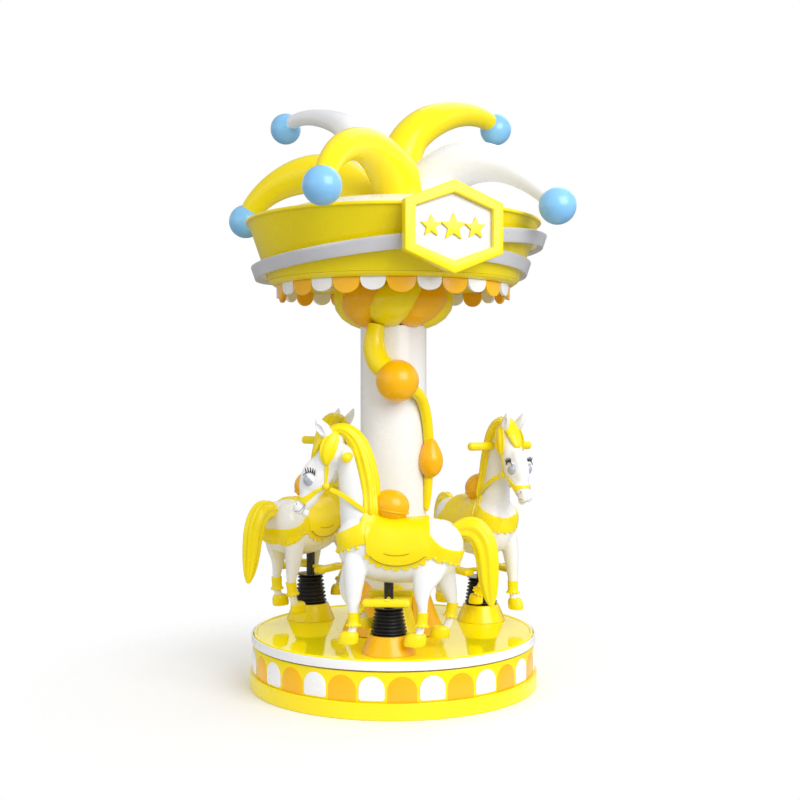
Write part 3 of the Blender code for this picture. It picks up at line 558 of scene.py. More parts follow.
def arch(half, foot, spring, corner, proud):
    """Round-topped panel, curved to the drum, with a bevelled edge."""
    bpy.ops.object.select_all(action="DESELECT")
    bpy.ops.mesh.primitive_plane_add(size=1.0, enter_editmode=True)
    bpy.ops.transform.rotate(value=-pi / 2.0, orient_axis="X", center_override=(0.0, 0.0, 0.0))
    high = spring + half
    bpy.ops.transform.resize(value=(2.0 * half, 1.0, high - foot), center_override=(0.0, 0.0, 0.0))
    bpy.ops.transform.translate(value=(0.0, 0.0, (high + foot) / 2.0))
    shape = out_of_edit()
    for top, reach, segments in ((True, half * 0.999, 14), (False, corner, 5)):
        into_edit(shape)
        bpy.ops.mesh.select_all(action="DESELECT")
        bpy.ops.object.mode_set(mode="OBJECT")
        middle = (high + foot) / 2.0
        for vert in shape.data.vertices:
            corner_vert = abs(abs(vert.co.x) - half) < 1e-5 and abs(vert.co.z - (high if top else foot)) < 1e-5
            vert.select = corner_vert and (vert.co.z > middle) == top
        bpy.ops.object.mode_set(mode="EDIT")
        bpy.ops.mesh.select_mode(type="VERT")
        bpy.ops.mesh.bevel(affect="VERTICES", offset=reach, segments=segments, profile=0.5)
        bpy.ops.object.mode_set(mode="OBJECT")
    into_edit(shape)
    for step in (-0.75, -0.5, -0.25, 0.0, 0.25, 0.5, 0.75):
        bpy.ops.mesh.select_all(action="SELECT")
        bpy.ops.mesh.bisect(plane_co=(step * half, 0.0, 0.0), plane_no=(1.0, 0.0, 0.0))
    bpy.ops.mesh.select_all(action="SELECT")
    bpy.ops.mesh.extrude_region_move(TRANSFORM_OT_translate={"value": (0.0, -proud, 0.0)})
    shape = out_of_edit()
    eased(shape, min(0.0022, proud * 0.6), 3)
    for vert in shape.data.vertices:
        vert.co = point(degrees(vert.co.x / ARCH_R), ARCH_R - vert.co.y, vert.co.z)
    return shape


def base():
    """Bottom band, drum wall and its two kinds of arch."""
    lathe("bottom_band", "base", "yellow", "base_skirt",
          ((0.632, 0.0), (0.632, 0.068), (0.600, 0.068), (0.600, 0.0)), 160, (0.005, 4, 40.0), closed=True)
    lathe("drum_wall", "base", "yellow", "arch_drum",
          ((0.6185, 0.0683), (0.6185, 0.188), (0.5965, 0.188), (0.5965, 0.0683)), 160, (0.002, 2, 40.0), closed=True)
    white = arch(0.0520, 0.0750, 0.120, 0.012, 0.0040)
    finish(ring_of(white, 16, 16.875), "white_arches", "base", "white", ("arch_drum",), 25.0)
    orange = arch(0.0590, 0.0690, 0.113, 0.002, 0.0016)
    finish(ring_of(orange, 16, 5.625), "orange_arches", "base", "orange", ("arch_drum",), 25.0)
    repaint("floor_plate", PLATE)


def stations():
    """Deck edge, pedestals, bellows."""
    lathe("white_rim", "rotor", "white", "rim_band",
          ((0.6255, 0.194), (0.6255, 0.2315), (0.6180, 0.2315), (0.6180, 0.194)), 160, (0.0034, 4, 40.0), closed=True)
    repaint("deck", MIRROR)
    for name, (azimuth, lift) in SEATS.items():
        low = DECK_TOP
        cone = turned(((0.0206, low + 0.0003), (0.1120, low + 0.0003), (0.1100, low + 0.0060), (0.0810, low + 0.0747),
                       (0.0206, low + 0.0747)), 72, closed=True)
        eased(cone, 0.0022, 3, 30.0)
        cone.data.transform(Matrix.Translation(point(azimuth, SEAT_CIRCLE, 0.0)))
        slot = "orange" if name == "front" else "yellow"
        finish(cone, f"pedestal_cone_{name}", "rotor", slot, (f"pedestal_{name}",))
        finish_bellows(name, azimuth, lift)


def finish_bellows(name, azimuth, lift):
    """Rubber concertina that the horse's lift stretches."""
    low = DECK_TOP + 0.0753
    high = DECK_TOP + 0.181 + lift - 0.0003
    ribs = 7
    profile = [(0.0215, high), (0.052, high), (0.0545, high - 0.003)]
    steps = 6
    for rib in range(ribs):
        for step in range(steps):
            part = (rib + (step + 0.5) / steps) / ribs
            swell = 1.0 - abs(2.0 * (step + 0.5) / steps - 1.0)
            radius = 0.0450 + 0.0175 * part + 0.0150 * swell
            profile.append((radius, high - 0.003 + (low + 0.003 - high + 0.003) * part))
    profile += [(0.072, low), (0.0265, low), (0.0265, high - 0.006), (0.0215, high - 0.006)]
    shape = turned(profile, 64, closed=True)
    centre = point(azimuth, SEAT_CIRCLE, 0.0)
    shape.data.transform(Matrix.Translation(centre))
    finish(shape, f"concertina_{name}", None, "rubber", (f"bellows_{name}",), 60.0)
    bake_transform(shape)


# Column


def column():
    """Petalled foot, white shaft and swirled capital."""
    lathe("column_shaft", "rotor", "white", "column",
          ((0.1455, 0.4311), (COLUMN_R, 0.436), (COLUMN_R, 1.570), (0.1455, 1.5737)))
    for index, slot in enumerate(("orange", "yellow")):
        finish(ring_of(foot_petal(), 3, 62.0 - 60.0 * index), f"foot_petals_{slot}", "rotor", slot, ("column_foot",))
    lathe("foot_core", "rotor", "yellow", "column_foot",
          ((0.190, 0.2328), (0.186, 0.245), (0.160, 0.330), (0.1490, 0.400), (0.147, 0.4305)), 64)
    for index, slot in enumerate(("orange", "yellow")):
        finish(ring_of(capital_lobe(), 4, -52.0 + 45.0 * index), f"capital_lobes_{slot}", "rotor", slot,
               ("capital",), 60.0)
    finish(vine(), "vine_yellow", "rotor", "yellow", ("column_vine",), 60.0)
    finish(vine_fruit(), "vine_fruit", "rotor", "orange", ("column_vine",), 60.0)


def foot_petal():
    """Leaf that hugs the foot of the column and flares out on the deck."""
    def lay(along, across):
        up = (along + 1.0) / 2.0
        width = 30.5 * (1.0 - 0.30 * up ** 3.0)
        swell = 0.014 * (1.0 - across * across) * sin(pi * min(1.0, up * 0.95 + 0.05))
        radius = 0.147 + 0.076 * (1.0 - up) ** 1.8 - 0.004 * across * across
        return point(across * width, radius + swell, DECK_TOP + 0.001 + 0.222 * up - 0.026 * across * across * up)

    shape = sheet(24, 30, lay)
    modify(shape, "SOLIDIFY", thickness=0.006, offset=-1.0)
    eased(shape, 0.0015)
    return out_facing(shape)


def out_facing(shape):
    """Turn a closed shape's faces outwards."""
    into_edit(shape)
    return out_of_edit()


def capital_lobe():
    """Swirled lobe that bulges from the column up to the soffit."""
    lines = ((0.0, 1.576, 0.150, 16.0), (0.0, 1.590, 0.186, 20.0), (3.0, 1.615, 0.222, 25.0), (7.0, 1.650, 0.247, 27.5),
             (12.0, 1.690, 0.257, 27.5), (18.0, 1.725, 0.250, 26.0), (24.0, 1.7485, 0.236, 24.0))

    def lay(along, across):
        index, part = stretch(along, lines)
        swirl, z, radius, width = (low + (high - low) * part for low, high in zip(lines[index], lines[index + 1]))
        hollow = 0.052 * (1.0 - sqrt(max(0.0, 1.0 - (abs(across) * 0.985) ** 2)))
        return point(swirl + across * width, radius - hollow, z)

    shape = sheet(30, 20, lay)
    modify(shape, "SOLIDIFY", thickness=0.010, offset=-1.0)
    return out_facing(shape)


def bezier(points, sides):
    """Tapered tube with round ends through (azimuth, height, stand-off, radius) spots on the column."""
    spots = []
    for index in range(len(points) - 1):
        for step in range(8):
            spots.append(on_line(points, index, step / 8.0))
    spots.append(list(points[-1]))
    line = [(point(azimuth, COLUMN_R + off, z), radius) for azimuth, z, off, radius in spots]
    return swept(line, sides)


def swept(line, sides):
    """Tube of changing radius along (place, radius) spots, with filled ends."""
    curve = bpy.data.curves.new("run", "CURVE")
    curve.dimensions = "3D"
    run = curve.splines.new("POLY")
    run.points.add(len(line) - 1)
    for spot, (place, radius) in zip(run.points, line):
        spot.co = (*place, 1.0)
        spot.radius = radius
    curve.bevel_depth = 1.0
    curve.bevel_resolution = max(0, (sides - 4) // 2)
    curve.use_fill_caps = True
    shape = bpy.data.objects.new("run", curve)
    bpy.context.scene.collection.objects.link(shape)
    pick(shape)
    bpy.ops.object.convert(target="MESH")
    return bpy.context.object


def vine():
    """Yellow curl and stalk that wind down the column."""
    curl = bezier(((-24.0, 1.574, 0.018, 0.036), (-26.0, 1.520, 0.028, 0.043), (-24.0, 1.460, 0.034, 0.048),
                   (-16.0, 1.408, 0.040, 0.050), (-4.0, 1.380, 0.046, 0.048)), 24)
    stalk = bezier(((22.0, 1.306, 0.046, 0.030), (36.0, 1.282, 0.034, 0.026), (48.0, 1.250, 0.026, 0.0245),
                    (58.0, 1.195, 0.023, 0.0235), (65.0, 1.130, 0.022, 0.0230), (69.0, 1.060, 0.021, 0.0225),
                    (70.0, 0.960, 0.020, 0.0205), (70.0, 0.880, 0.018, 0.0190), (70.0, 0.815, 0.014, 0.0160),
                    (70.0, 0.775, 0.011, 0.0110), (70.0, 0.762, 0.009, 0.0030)), 20)
    return joined([curl, stalk])


def vine_fruit():
    """Orange ball and drop on the vine."""
    globe = egg(point(7.0, COLUMN_R + 0.062, 1.333), (0.0915, 0.0915, 0.0915), columns=48, rows=28)
    drop = tube(((0.0, 0.0, -0.0858, 0.006, 0.006), (0.0, 0.0, -0.080, 0.022, 0.022), (0.0, 0.0, -0.062, 0.043, 0.043),
                 (0.0, 0.0, -0.024, 0.058, 0.058), (0.0, 0.0, 0.016, 0.053, 0.053), (0.0, 0.0, 0.050, 0.038, 0.038),
                 (0.0, 0.0, 0.076, 0.025, 0.025), (0.0, 0.0, 0.088, 0.010, 0.010)), 20)
    drop.data.transform(Matrix.Translation(point(66.0, COLUMN_R + 0.035, 0.996)))
    return joined([globe, drop])


# Hat


def hat_radius(z):
    """Outer radius of the hat's ring at a height."""
    part = (z - RING_LOW[1]) / (RING_HIGH[1] - RING_LOW[1])
    return RING_LOW[0] + (RING_HIGH[0] - RING_LOW[0]) * part


def hat():
    """Soffit, valance, ring, ribbons, crown, horns, balls and badge."""
    lathe("hat_underside", "rotor", "yellow", "hat_soffit",
          ((0.30, 1.750), (0.5265, 1.750), (0.5485, 1.7650), (0.5500, 1.7687), (0.30, 1.7687)), 128, (0.002, 2, 40.0))
    lathe("hat_band", "rotor", "yellow", "hat_ring",
          ((0.5306, 1.7692), (0.5516, 1.7692), (hat_radius(2.015), 2.015), (0.6475, 2.0165), (0.6493, 2.0200),
           (0.6493, 2.0265), (0.6460, 2.0305), (0.6340, 2.0310), (0.6265, 2.0270), (0.6200, 2.0180)),
          160, (0.0015, 2, 25.0), closed=True)
    lathe("hat_crown", "rotor", "white", "crown",
          ((0.001, 2.135), (0.12, 2.132), (0.24, 2.121), (0.36, 2.102), (0.46, 2.078), (0.54, 2.050), (0.59, 2.022),
           (0.612, 1.995), (0.600, 1.985), (0.56, 1.985), (0.40, 2.070), (0.001, 2.115)), sharp=60.0)
    ribbons()
    valance()
    horns()
    badge()


def ribbon(start, span, steps, height_at):
    """Flat band that stands off the hat's ring, over a span of azimuths."""
    def lay(along, across):
        azimuth = start + span * (along + 1.0) / 2.0
        z = height_at(azimuth) + across * RIBBON_TALL / 2.0
        return point(azimuth, hat_radius(z) + RIBBON_PROUD, z)

    shape = sheet(steps, 4, lay)
    if span > 359.0:
        out_facing(shape)
    modify(shape, "SOLIDIFY", thickness=RIBBON_PROUD - 0.0009, offset=-1.0)
    eased(shape, 0.002)
    return out_facing(shape)


def ribbons():
    """Closed ribbon that rises to the right, and the half ribbon under it."""
    closed = ribbon(-180.0, 360.0, 144, lambda azimuth: 1.878 + 0.070 * sin(radians(azimuth - VIEW_AZ)))
    finish(closed, "ribbon_round", "rotor", "silver", ("ribbon_closed",))
    half = ribbon(30.0, 157.5, 64,
                  lambda azimuth: 1.8115 + 0.030 * max(0.0, cos(radians(azimuth - 26.0))) ** 2)
    finish(half, "ribbon_lower", "rotor", "silver", ("ribbon_half",))


def valance_tab(wide, drop, proud):
    """Half-round tab that hangs from the canopy's edge."""
    def lay(along, across):
        side = across * wide
        down = (1.0 - along) / 2.0
        hang = 0.014 + (drop - 0.014) * sqrt(max(0.0, 1.0 - across * across))
        return point(side, VALANCE_R + proud, 1.7496 - hang * down)

    shape = sheet(10, 20, lay)
    modify(shape, "SOLIDIFY", thickness=0.010 + proud, offset=1.0)
    eased(shape, 0.002)
    return out_facing(shape)


def valance():
    """Scallops round the canopy's edge, white and orange in turn."""
    pitch = 360.0 / 28.0
    first = VIEW_AZ - 9.2
    white = ring_of(valance_tab(pitch * 0.45, 0.0535, 0.003), 14, first)
    finish(white, "valance_white", "rotor", "white", ("valance",))
    orange = ring_of(valance_tab(pitch * 0.52, 0.064, 0.0), 14, first + pitch)
    finish(orange, "valance_orange", "rotor", "orange", ("valance",))


# Azimuth, slot, and in millimetres the ball (radius, height) and the line (radius, sideways, height, tube radius)
HORNS = {
    "horn_1": (-17.4, "yellow", (797, 2069), ((100, 108, 2000, 135), (120, 83, 2140, 124), (210, 64, 2240, 101),
               (360, 34, 2298, 80), (500, 14, 2290, 68), (620, 2, 2245, 58), (710, 0, 2185, 50),
               (765, 0, 2122, 46))),
    "horn_2": (-108.1, "yellow", (733, 2075), ((120, 0, 2020, 160), (190, 0, 2180, 130), (300, 0, 2270, 100),
               (420, 0, 2278, 88), (530, 0, 2250, 74), (620, 0, 2205, 62), (685, 0, 2150, 53), (712, 0, 2115, 47))),
    "horn_3": (-141.5, "white", (926, 2612), ((120, 0, 2020, 160), (140, 0, 2220, 125), (240, 0, 2420, 84),
               (380, 0, 2533, 60), (540, 0, 2592, 45), (700, 0, 2632, 37), (820, 0, 2640, 34), (872, 0, 2630, 33))),
    "horn_4": (142.1, "yellow", (779, 2577), ((80, 60, 2050, 130), (90, 55, 2220, 112), (110, 43, 2390, 90),
               (190, 21, 2480, 86), (290, 5, 2540, 76), (430, 0, 2590, 62), (570, 0, 2614, 52), (670, 0, 2614, 47),
               (728, 0, 2602, 44))),
    "horn_5": (58.7, "white", (799, 2041), ((120, 0, 2020, 160), (180, 0, 2160, 135), (290, 0, 2250, 110),
               (420, 0, 2265, 92), (550, 0, 2235, 70), (660, 0, 2172, 56), (740, 0, 2108, 48), (768, 0, 2078, 45))),
}
BALL_R = 0.0766


def horns():
    """Five horns rooted in the crown, each with a ball at its tip."""
    for name, (azimuth, slot, *sizes) in HORNS.items():
        (out, up), line = metres(sizes)
        stations = [(radius, side, z, thick, thick) for radius, side, z, thick in line]
        stations.append((out, 0.0, up, line[-1][3] * 0.9, line[-1][3] * 0.9))
        shape = tube(stations, 24)
        turn = Matrix.Rotation(radians(azimuth - 90.0), 4, "Z")
        shape.data.transform(turn)
        finish(shape, f"{name}_shell", "rotor", slot, (name,), 50.0)
        number = name[-1]
        ball = egg((0.0, 0.0, 0.0), (BALL_R, BALL_R, BALL_R), columns=56, rows=32)
        ball.data.transform(turn @ Matrix.Translation(Vector((out, 0.0, up))))
        finish(ball, f"ball_{number}_shell", "rotor", "sky_blue", (f"ball_{number}",), 60.0)


def badge():
    """Hexagonal badge with a plain row of stars where the ride has lettering."""
    half_w, half_h, shoulder = 0.208, 0.184, 0.099
    back = 0.6498

    def outline(inset, reach):
        wide = half_w - inset
        tall = half_h - inset * 1.15
        side = shoulder - inset * 0.58
        flat = ((0.0, tall), (wide, side), (wide, -side), (0.0, -tall), (-wide, -side), (-wide, side))
        return [(across, -reach, BADGE_Z + up) for across, up in flat]

    def plate(rings, closed):
        bpy.ops.object.select_all(action="DESELECT")
        bpy.ops.mesh.primitive_circle_add(vertices=6, radius=1.0, fill_type="NOTHING" if closed else "NGON",
                                          enter_editmode=True)
        for _ in rings[1:]:
            bpy.ops.mesh.extrude_region_move(TRANSFORM_OT_translate={"value": (0.0, 0.0, 1.0)})
        if closed:
            bpy.ops.mesh.select_all(action="SELECT")
            bpy.ops.mesh.region_to_loop()
            bpy.ops.mesh.bridge_edge_loops()
        bpy.ops.object.mode_set(mode="OBJECT")
        shape = bpy.context.object
        order = sorted(shape.data.vertices, key=lambda vert: (round(vert.co.z), atan2(vert.co.x, vert.co.y)))
        places = []
        for ring in rings:
            places += sorted(ring, key=lambda spot: atan2(spot[0], spot[2] - BADGE_Z))
        for vert, place in zip(order, places):
            vert.co = place
        return out_facing(shape)

    front = back + 0.038
    rim = plate([outline(0.0, back), outline(0.0, front), outline(0.044, front), outline(0.044, back)], True)
    eased(rim, 0.005, 4, 40.0)
    face = plate([outline(0.0443, back + 0.0002), outline(0.0443, back + 0.014)], False)
    eased(face, 0.001, 2, 40.0)
    turn = Matrix.Rotation(radians(BADGE_AZ), 4, "Z")
    stars = []
    for offset, size in ((-0.094, 0.047), (0.0, 0.058), (0.094, 0.047)):
        stars.append(star(offset, size, back + 0.0138))
    row = joined(stars)
    for shape, name, slot, nodes in ((rim, "badge_rim", "yellow", ("badge_frame",)),
                                     (face, "badge_face", "white", ("badge_panel",)),
                                     (row, "badge_stars", "yellow", ())):
        shape.data.transform(turn)
        finish(shape, name, "rotor", slot, nodes, 30.0)


def star(offset, size, back):
    """Five-pointed star in relief."""
    bpy.ops.object.select_all(action="DESELECT")
    bpy.ops.mesh.primitive_circle_add(vertices=10, radius=size, fill_type="NGON")
    shape = bpy.context.object
    for vert in shape.data.vertices:
        turn = atan2(vert.co.x, vert.co.y)
        index = round(turn / (tau / 10.0))
        reach = size if index % 2 == 0 else size * 0.44
        vert.co = (offset + reach * sin(turn), -back, BADGE_Z + reach * cos(turn))
    into_edit(shape)
    bpy.ops.mesh.extrude_region_move(TRANSFORM_OT_translate={"value": (0.0, -0.011, 0.0)})
    shape = out_of_edit()
    return eased(shape, 0.002, 3, 40.0)


# Horses, built once in their own frame: x forward, y away from the column, z above the deck.
# Stations are (x, y, z, half depth, half width), and these tables are in millimetres.

TORSO = metres(((200, 0, 468, 30, 30), (182, 0, 462, 80, 68), (120, 0, 442, 126, 98), (40, 0, 418, 137, 111),
    (-50, 0, 408, 130, 109), (-140, 0, 415, 131, 111), (-220, 0, 430, 119, 107), (-274, 0, 437, 84, 78),
    (-300, 0, 440, 30, 30)))
NECK = metres(((70, 0, 420, 98, 82), (104, 0, 500, 92, 76), (124, 0, 570, 77, 62), (141, 0, 660, 63, 50),
    (155, 0, 760, 54, 45), (180, 0, 850, 44, 38)))
HEAD = metres(((192, 0, 898, 22, 22), (212, 0, 865, 42, 40), (246, 0, 790, 54, 50), (284, 0, 710, 56, 47),
    (316, 0, 650, 45, 40), (338, 0, 606, 36, 35), (350, 0, 578, 22, 24)))
EAR = metres(((222, 28, 866, 22, 15), (254, 35, 890, 29, 17), (274, 40, 914, 24, 14), (286, 43, 936, 12, 9),
    (291, 44, 950, 3, 3)))
# Leg, cuff (top, bottom), hoof (sole, lean of its top, half length, half width, height)
LEGS = metres((
    # Fore leg on the outer side
    (((122, 56, 440, 58, 40), (134, 74, 320, 46, 36), (137, 82, 235, 31, 27), (137, 85, 184, 22, 21),
     (137, 86, 128, 17, 17), (141, 86, 104, 17, 17), (150, 87, 82, 22, 20)),
     ((137, 85, 178), (137, 86, 124)), ((160, 87, 53), -7, 41, 31, 49)),
    # Fore leg on the inner side
    (((122, -56, 440, 58, 40), (152, -72, 320, 44, 34), (188, -80, 240, 32, 28), (168, -84, 192, 22, 21),
     (140, -85, 160, 18, 18), (114, -86, 134, 17, 17), (104, -86, 112, 22, 20)),
     ((154, -85, 174), (121, -86, 141)), ((92, -86, 83), 10, 37, 30, 46)),
    # Hind leg on the outer side
    (((-186, 52, 440, 90, 46), (-162, 71, 340, 68, 41), (-143, 80, 294, 48, 36), (-134, 85, 258, 35, 29),
     (-136, 88, 218, 24.5, 23), (-140, 91, 186, 19, 19), (-137, 92, 150, 17, 17), (-133, 92, 124, 17, 17),
     (-126, 92, 96, 17, 17), (-116, 92, 74, 22, 20)),
     ((-138, 92, 180), (-134, 92, 124)), ((-106, 92, 46), -7, 45, 32, 50)),
    # Hind leg on the inner side
    (((-198, -52, 440, 88, 46), (-214, -67, 335, 56, 40), (-240, -79, 250, 37, 30), (-252, -82, 214, 27.5, 24),
     (-259, -84, 184, 19, 19), (-252, -85, 140, 17, 17), (-242, -85, 98, 17, 17), (-226, -85, 76, 22, 20)),
     ((-260, -84, 188), (-249, -85, 131)), ((-204, -85, 44), -8, 42, 31, 50)),
))
# Share of the hoof's height, share of its size
HOOF_LINE = ((1.0, 0.40), (0.975, 0.68), (0.87, 0.87), (0.62, 0.975), (0.28, 1.0), (0.07, 0.985), (0.0, 0.94),
             (0.0, 0.90))
MANE = metres(((306, 0, 790, 8, 14), (296, 0, 818, 15, 32), (268, 0, 862, 19, 41), (230, 0, 902, 25, 43),
    (180, 0, 907, 36, 46), (130, 0, 862, 47, 50), (106, 0, 790, 54, 53), (86, 0, 705, 55, 57), (78, 0, 645, 52, 61),
    (76, 0, 606, 53, 72), (74, 0, 572, 58, 80), (78, 0, 545, 44, 64)))
SIDE_LOCK = metres(((208, 26, 900, 14, 12), (224, 44, 868, 32, 14), (240, 53, 826, 39, 14), (248, 55, 788, 28, 12),
    (250, 52, 758, 8, 6)))
TAIL = metres(((-256, 0, 490, 24, 20), (-296, 4, 506, 44, 30), (-342, 8, 509, 58, 38), (-380, 14, 472, 56, 42),
    (-398, 20, 408, 50, 41), (-402, 24, 330, 46, 39), (-406, 28, 262, 38, 31), (-412, 30, 214, 22, 18),
    (-416, 31, 190, 6, 5)))
GRIP = metres((160, 795, 165, 18.5))
EYE = Vector((0.3195, 0.0, 0.700))
# The barrel's middle height and half sizes, its mean radius, and the cloth's middle and reach along it
BARREL_Z = 0.412
BARREL_WIDE = 0.112
BARREL_TALL = 0.132
FLANK_R = 0.125
CLOTH_X = -0.032
CLOTH_FRONT = 0.120
CLOTH_REAR = 0.132
CLEAR = 0.014


def mirrored(stations):
    """The same stations on the other side of the horse."""
    return tuple((x, -y, z, deep, wide) for x, y, z, deep, wide in stations)


def stable(shape, part, slot, node):
    """Give each of the three horses its own copy of a piece."""
    for name, (azimuth, lift) in SEATS.items():
        seat = Matrix.Translation(point(azimuth, SEAT_CIRCLE, DECK_TOP + lift))
        seat = seat @ Matrix.Rotation(pi + radians(azimuth), 4, "Z")
        finish(copy_of(shape, seat), f"{part}_{name}", f"horse_{name}", slot, (f"{node}_{name}",), 60.0,
               OWN_PAINTS.get(part))


def horse():
    """Moulded body of the horse with its legs, ears and muzzle."""
    parts = [tube(TORSO, 24), tube(NECK, 20), tube(HEAD, 20), tube(EAR, 14), tube(mirrored(EAR), 14)]
    parts.append(egg((0.340, 0.0, 0.566), (0.016, 0.020, 0.022), 20.0))
    for side in (-1.0, 1.0):
        parts.append(egg((0.290, side * 0.019, 0.704), (0.050, 0.034, 0.070), -24.0))
        parts.append(egg((0.312, side * 0.010, 0.708), (0.046, 0.030, 0.088), -20.0))
        parts.append(egg((0.362, side * 0.011, 0.588), (0.026, 0.021, 0.031), -24.0))
        parts.append(egg((0.376, side * 0.023, 0.600), (0.012, 0.008, 0.012), -24.0))
        parts.append(egg((0.120, side * 0.040, 0.466), (0.086, 0.060, 0.084), 0.0))
        parts.append(egg((-0.205, side * 0.038, 0.436), (0.098, 0.072, 0.100), 0.0))
    for leg, _, _ in LEGS:
        parts.append(tube(leg, 16))
    body = fused(parts, 0.0052, 5)
    for side in (-1.0, 1.0):
        cut(body, egg((0.384, side * 0.035, 0.604), (0.0075, 0.006, 0.0095), -30.0, 16, 10))
        cut(body, egg((0.276, side * 0.053, 0.902), (0.015, 0.010, 0.029), 34.0, 16, 12))
    slit = tube(((0.358, 0.0, 0.540, 0.0016, 0.060), (0.347, 0.0, 0.570, 0.0016, 0.060),
                 (0.335, 0.0, 0.594, 0.0010, 0.060)), 12, 0)
    return cut(body, slit)


def legwear():
    """Boot cuffs with a stud rim, and hooves."""
    cuffs, hooves = [], []
    for _, (top, bottom), hoof in LEGS:
        high, low = Vector(top), Vector(bottom)
        axis = (high - low).normalized()
        deep = (high - low).length
        collar = turned(((0.0160, 0.0), (0.0262, 0.0), (0.0270, 0.004), (0.0240, 0.010), (0.0222, 0.018),
                         (0.0232, deep - 0.006), (0.0240, deep), (0.0160, deep)), 40, closed=True)
        eased(collar, 0.0016, 3, 30.0)
        studs = [collar]
        for index in range(10):
            turn = tau * index / 10.0
            studs.append(egg((0.0262 * sin(turn), 0.0262 * cos(turn), 0.0010), (0.0048, 0.0048, 0.0048), 0.0, 12, 8))
        cuff = joined(studs)
        cuff.data.transform(Matrix.Translation(low) @ axis.to_track_quat("Z", "Y").to_matrix().to_4x4())
        cuffs.append(cuff)
        sole, tip, half_long, half_wide, tall = hoof
        line = []
        for up, size in HOOF_LINE:
            line.append((sole[0] + tip * up, sole[1], sole[2] + tall * up, half_long * size, half_wide * size))
        hooves.append(tube(line, 36, 0, 0.0))
    return joined(cuffs), joined(hooves)


def belt(onto, centre, axis, reach, rise, tall, start, end, steps=96):
    """Band drawn down onto a form round an axis; its height and width follow the turn in degrees."""
    axis = Vector(axis).normalized()
    back = axis.cross(Vector((0.0, 1.0, 0.0))).normalized()
    side = back.cross(axis)

    def lay(along, across):
        degrees_round = start + (end - start) * (along + 1.0) / 2.0
        turn = radians(degrees_round)
        up = rise(degrees_round) + across * tall(degrees_round) / 2.0
        return Vector(centre) + (back * cos(turn) + side * sin(turn)) * reach + axis * up

    shape = sheet(steps, 8, lay)
    if end - start > 359.0:
        out_facing(shape)
    wrapped(shape, onto, 0.0012, 0.004)
    eased(shape, 0.0014)
    return out_facing(shape)


def strap(onto, path, width):
    """Strap laid along a path of places on one side of the head and drawn down onto it."""
    spots = [Vector(place) for place in path]

    def lay(along, across):
        index, part = stretch(along, spots)
        here = Vector(on_line(spots, index, part))
        run = (spots[index + 1] - spots[index]).normalized()
        side = run.cross(Vector((0.0, here.y, 0.0)))
        return here + side.normalized() * across * width / 2.0

    shape = sheet(48, 5, lay)
    wrapped(shape, onto, 0.0010, 0.0036)
    return out_facing(shape)


def studs_on(onto, places, size):
    """Round studs sunk into a form at the nearest points to these places."""
    beads = []
    for place in places:
        _, spot, normal, _ = onto.closest_point_on_mesh(Vector(place))
        beads.append(egg(spot + normal * size * 0.5, (size, size, size), 0.0, 14, 9))
    return beads


def rein(side):
    """Free strap from the cheek knot back along the neck to the withers."""
    spots = ((0.234, 0.050, 0.664), (0.200, 0.060, 0.650), (0.160, 0.066, 0.626), (0.118, 0.068, 0.597),
             (0.080, 0.056, 0.566))

    def lay(along, across):
        x, y, z = on_line(spots, *stretch(along, spots))
        return Vector((x - across * 0.0045, side * y, z + across * 0.0085))

    shape = sheet(30, 4, lay)
    modify(shape, "SOLIDIFY", thickness=0.004, offset=0.0)
    eased(shape, 0.0012)
    return out_facing(shape)


def tack(body):
    """Bridle with its cheek knots and reins, breast band and rump band."""
    pieces = [belt(body, (0.288, 0.0, 0.642), (0.407, 0.0, 0.913), 0.062, lambda turn: 0.0, lambda turn: 0.026,
                   38.0, 322.0)]
    knots = []
    for side in (-1.0, 1.0):
        pieces.append(strap(body, ((0.247, side * 0.060, 0.775), (0.243, side * 0.060, 0.738),
                                   (0.239, side * 0.058, 0.700), (0.237, side * 0.056, 0.664)), 0.020))
        pieces.append(rein(side))
        knots.append((0.237, side * 0.056, 0.666))
    pieces += studs_on(body, knots, 0.0150)

    def front(turn):
        return max(0.0, -cos(radians(turn)))

    pieces.append(belt(body, (0.080, 0.0, 0.460), (0.0, 0.0, 1.0), 0.125,
                       lambda turn: 0.062 - 0.080 * front(turn), lambda turn: 0.136 - 0.068 * front(turn),
                       66.0, 294.0, 120))

    def low(turn):
        return 0.335 + 0.068 * (abs(turn) / 90.0) ** 1.6

    def high(turn):
        return 0.424 + 0.096 * (abs(turn) / 90.0) ** 4.2

    pieces.append(belt(body, (-0.150, 0.0, 0.390), (0.0, 0.0, 1.0), 0.150,
                       lambda turn: (high(turn) + low(turn)) / 2.0 - 0.390,
                       lambda turn: high(turn) - low(turn), -94.0, 94.0, 110))
    rims = []
    for index in range(15):
        turn = -88.0 + 88.0 / 7.0 * index
        swing = radians(turn)
        rims.append((-0.150 - 0.160 * cos(swing), 0.125 * sin(swing), low(turn) + 0.007))
    for index in range(9):
        turn = radians(-72.0 + 18.0 * index)
        rims.append((0.080 + 0.135 * cos(turn), 0.115 * sin(turn), 0.444 - 0.036 * cos(turn)))
    pieces += studs_on(body, rims, 0.0075)
    return joined(pieces)


def cloth_edge(turn):
    """Edge of the saddle cloth, as (along the back, down the flank) from a turn in degrees."""
    swing = radians(turn)
    half = CLOTH_FRONT if turn > 0.0 else CLOTH_REAR
    return CLOTH_X + half * sin(swing), FLANK_R * radians(84.0 + 27.0 * max(0.0, cos(swing)) ** 1.2)


def edge_side(turn):
    """Direction away from the cloth, in its edge's plane."""
    swing = radians(turn)
    return Vector((0.5 * FLANK_R * sin(swing), CLOTH_FRONT * cos(swing))).normalized()


